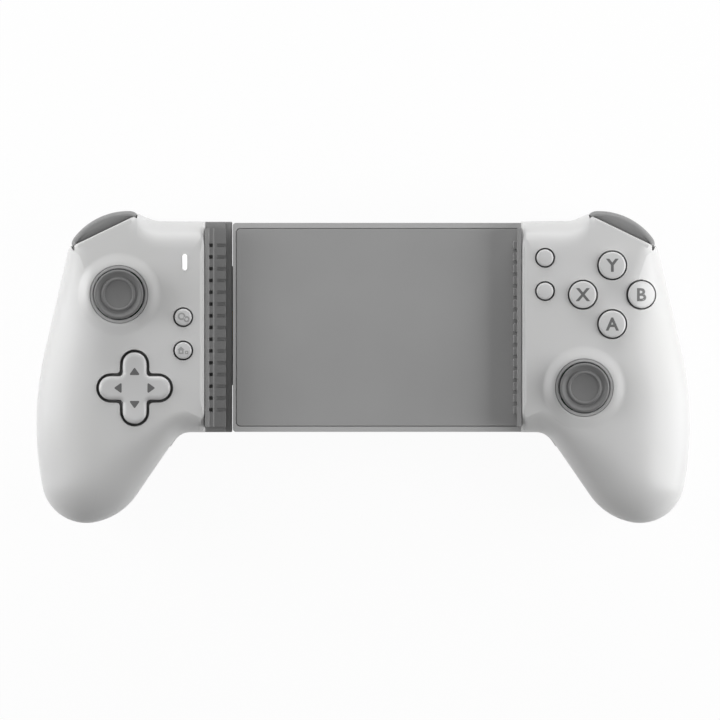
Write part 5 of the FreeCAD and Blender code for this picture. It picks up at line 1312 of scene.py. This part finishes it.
# %% Two layers of cable
CABLE_Y, CABLE_THICK, BOARD_Z = (8.85, 18.85), 0.2, 30.0


def cable(name, span, riser_x, low, body, replaced):
    """A strip of cable with an upright end that meets its circuit board."""
    strip = plate("strip", oblong(*span, *CABLE_Y), low, low + CABLE_THICK)
    riser = plate("riser", oblong(riser_x, riser_x + CABLE_THICK, *CABLE_Y), low, BOARD_Z)
    carve(strip, [riser], "UNION")
    finished(strip, name, "cable_film", body, replaced)


cable("cable_in_bridge", (-43.0, 64.0), 63.8, 28.0, "right_grip", ["flat_cable"])
cable("cable_on_arm", (-58.0, 36.0), -58.0, 27.65, "left_grip", [])

# %% [markdown]
# ## Screws
# Seen from behind, ten small screws hold the mouldings. A plain disc would do from afar, but a
# screw in its well catches the eye, so each head is turned with a low dome and has a cross
# recess cut into it.

# %% Screw heads
HEAD_RADIUS, HEAD_ROUND, HEAD_TALL, SHANK_RADIUS = 2.3, 0.5, 1.4, 1.1
CROSS_HALF, CROSS_REACH, CROSS_DEPTH = 0.28, 1.3, 0.9


def screws(name, spots, head_z, top_z, body, replaced):
    """Screws that point up: a domed head below, a shank above and a cross cut in the head."""
    form = bmesh.new()
    head = np.vstack([[(0, head_z)],
                      arc((HEAD_RADIUS - HEAD_ROUND, head_z + HEAD_ROUND), HEAD_ROUND, -90, 0, 5),
                      [(HEAD_RADIUS, head_z + HEAD_TALL),
                       (SHANK_RADIUS, head_z + HEAD_TALL + 0.1), (SHANK_RADIUS, top_z),
                       (0, top_z)]])
    for x, y in spots:
        screw = lathe("screw", head, (x, y), 32)
        for wide, tall in ((CROSS_HALF, CROSS_REACH), (CROSS_REACH, CROSS_HALF)):
            carve(screw, [plate("cross", oblong(x - wide, x + wide, y - tall, y + tall),
                                head_z - 1, head_z + CROSS_DEPTH)])
        form.from_mesh(screw.data)
        bpy.data.meshes.remove(screw.data)
    mesh = bpy.data.meshes.new(name)
    form.to_mesh(mesh)
    form.free()
    finished(placed(name, mesh), name, "steel", body, replaced)


for side in ("right", "left"):
    screws(side + "_shell_screws", [sided(spot, side == "left") for spot in BOSSES], 23.5, 39.0,
           side + "_grip", [side + "_grip_screws"])
screws("cover_screws", BRIDGE_SCREWS, BACK_Z, 27.4, "right_grip", ["bridge_screws"])

# %% [markdown]
# ## What stays as the CAD made it
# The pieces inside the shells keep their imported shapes. Each one takes the finish of its own
# material, because the shells come off in an exploded view.

# %% Finish the inner pieces
INNER = {
    "silicone": ["menu_button_rubber", "action_button_rubber", "function_button_rubber",
                 "direction_pad_rubber"],
    "board_green": ["right_circuit_board", "left_circuit_board"],
    "cell_wrap": ["battery"],
    "steel": ["arm_springs", "charging_socket"],
    "inner_white": [],
}
for side in ("right", "left"):
    INNER["steel"] += ["%s_%s" % (side, part) for part in (
        "bumper_pin", "trigger_pin", "trigger_spring", "stick_housing")]
    INNER["inner_white"] += ["%s_stick_%s" % (side, part) for part in ("carrier", "pivot", "arch")]
for slot, names in INNER.items():
    for name in names:
        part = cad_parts[name]
        part.data.materials.clear()
        part.data.materials.append(materials[slot])
    print("%-12s %s" % (slot, ", ".join(names)))

# %% [markdown]
# ## Floor
# The photograph has a plain white ground. More light would whiten the floor, but the part too.
# So the floor answers camera and mirror rays with white and every other ray as a pale matt
# surface, with a little of that left in, so the shadow stays.

# %% Stage
FLOOR_HALF = 1500
floor = plate("floor", oblong(-FLOOR_HALF, FLOOR_HALF, -FLOOR_HALF, FLOOR_HALF), -6.0, -0.05)
floor.data.materials.append(bpy.data.materials.new("white_paper"))
ground = blank_tree(floor.data.materials[0])
paper = add_node(ground, "ShaderNodeBsdfDiffuse", {"Color": linear("F2F2F2")})
glow = add_node(ground, "ShaderNodeEmission", {"Color": linear("FFFFFF"), "Strength": 1.0})


def seen_directly(tree):
    """One for camera, glossy and transmission rays, else zero."""
    rays = add_node(tree, "ShaderNodeLightPath")
    either = add_node(tree, "ShaderNodeMath", None,
                      {0: rays.outputs["Is Camera Ray"], 1: rays.outputs["Is Glossy Ray"]},
                      operation="MAXIMUM")
    return add_node(tree, "ShaderNodeMath", None,
                    {0: either.outputs[0], 1: rays.outputs["Is Transmission Ray"]},
                    operation="MAXIMUM").outputs[0]


share = add_node(ground, "ShaderNodeMath", {1: 0.95}, {0: seen_directly(ground)},
                 operation="MULTIPLY")
mix = add_node(ground, "ShaderNodeMixShader", None,
               {0: share.outputs[0], 1: paper.outputs["BSDF"], 2: glow.outputs["Emission"]})
add_node(ground, "ShaderNodeOutputMaterial", None, {"Surface": mix.outputs["Shader"]})
print("the floor is %d mm wide" % (2 * FLOOR_HALF))

# %% [markdown]
# ## Light
# The world is white to the camera and dim to the part, where it fills the shadows. Bare lamps
# would draw hard shadows, so four soft boxes light the part: tall ones left and right for the
# rounded sides, which are the brightest part of the photograph, a high one on the left for the
# faces, and a wide one behind the top edge.

# %% World
world = bpy.context.scene.world = bpy.data.worlds.new("studio")
sky = blank_tree(world)
dim, white = [add_node(sky, "ShaderNodeBackground", {"Color": linear("FFFFFF"), "Strength": level})
              for level in (0.18, 1.0)]
rays = add_node(sky, "ShaderNodeLightPath")
mix = add_node(sky, "ShaderNodeMixShader", None,
               {0: rays.outputs["Is Camera Ray"], 1: dim.outputs["Background"],
                2: white.outputs["Background"]})
add_node(sky, "ShaderNodeOutputWorld", None, {"Surface": mix.outputs["Shader"]})
print("the world lights at %.2f and shows white" % dim.inputs["Strength"].default_value)

# %% Soft boxes
LAMPS = {  # place, target, size and watts
    "left_soft_box": ((-420, 60, 110), (-60, 0, 30), (200, 420), 1.0),
    "right_soft_box": ((420, 0, 170), (60, 0, 30), (260, 520), 1.8),
    "high_soft_box": ((-420, 80, 420), (-60, 0, 30), (300, 400), 0.55),
    "top_soft_box": ((0, 450, 160), (0, 40, 30), (600, 200), 1.35),
}
for name, (spot, target, size, watts) in LAMPS.items():
    lamp = placed(name, bpy.data.lights.new(name, "AREA"))
    lamp.data.shape, lamp.data.size, lamp.data.size_y = "RECTANGLE", size[0] * MM, size[1] * MM
    lamp.data.energy = watts
    lamp.location = Vector(spot) * MM
    lamp.rotation_euler = (Vector(target) - Vector(spot)).to_track_quat("-Z", "Y").to_euler()
    print("%-14s %.2f W" % (name, watts))
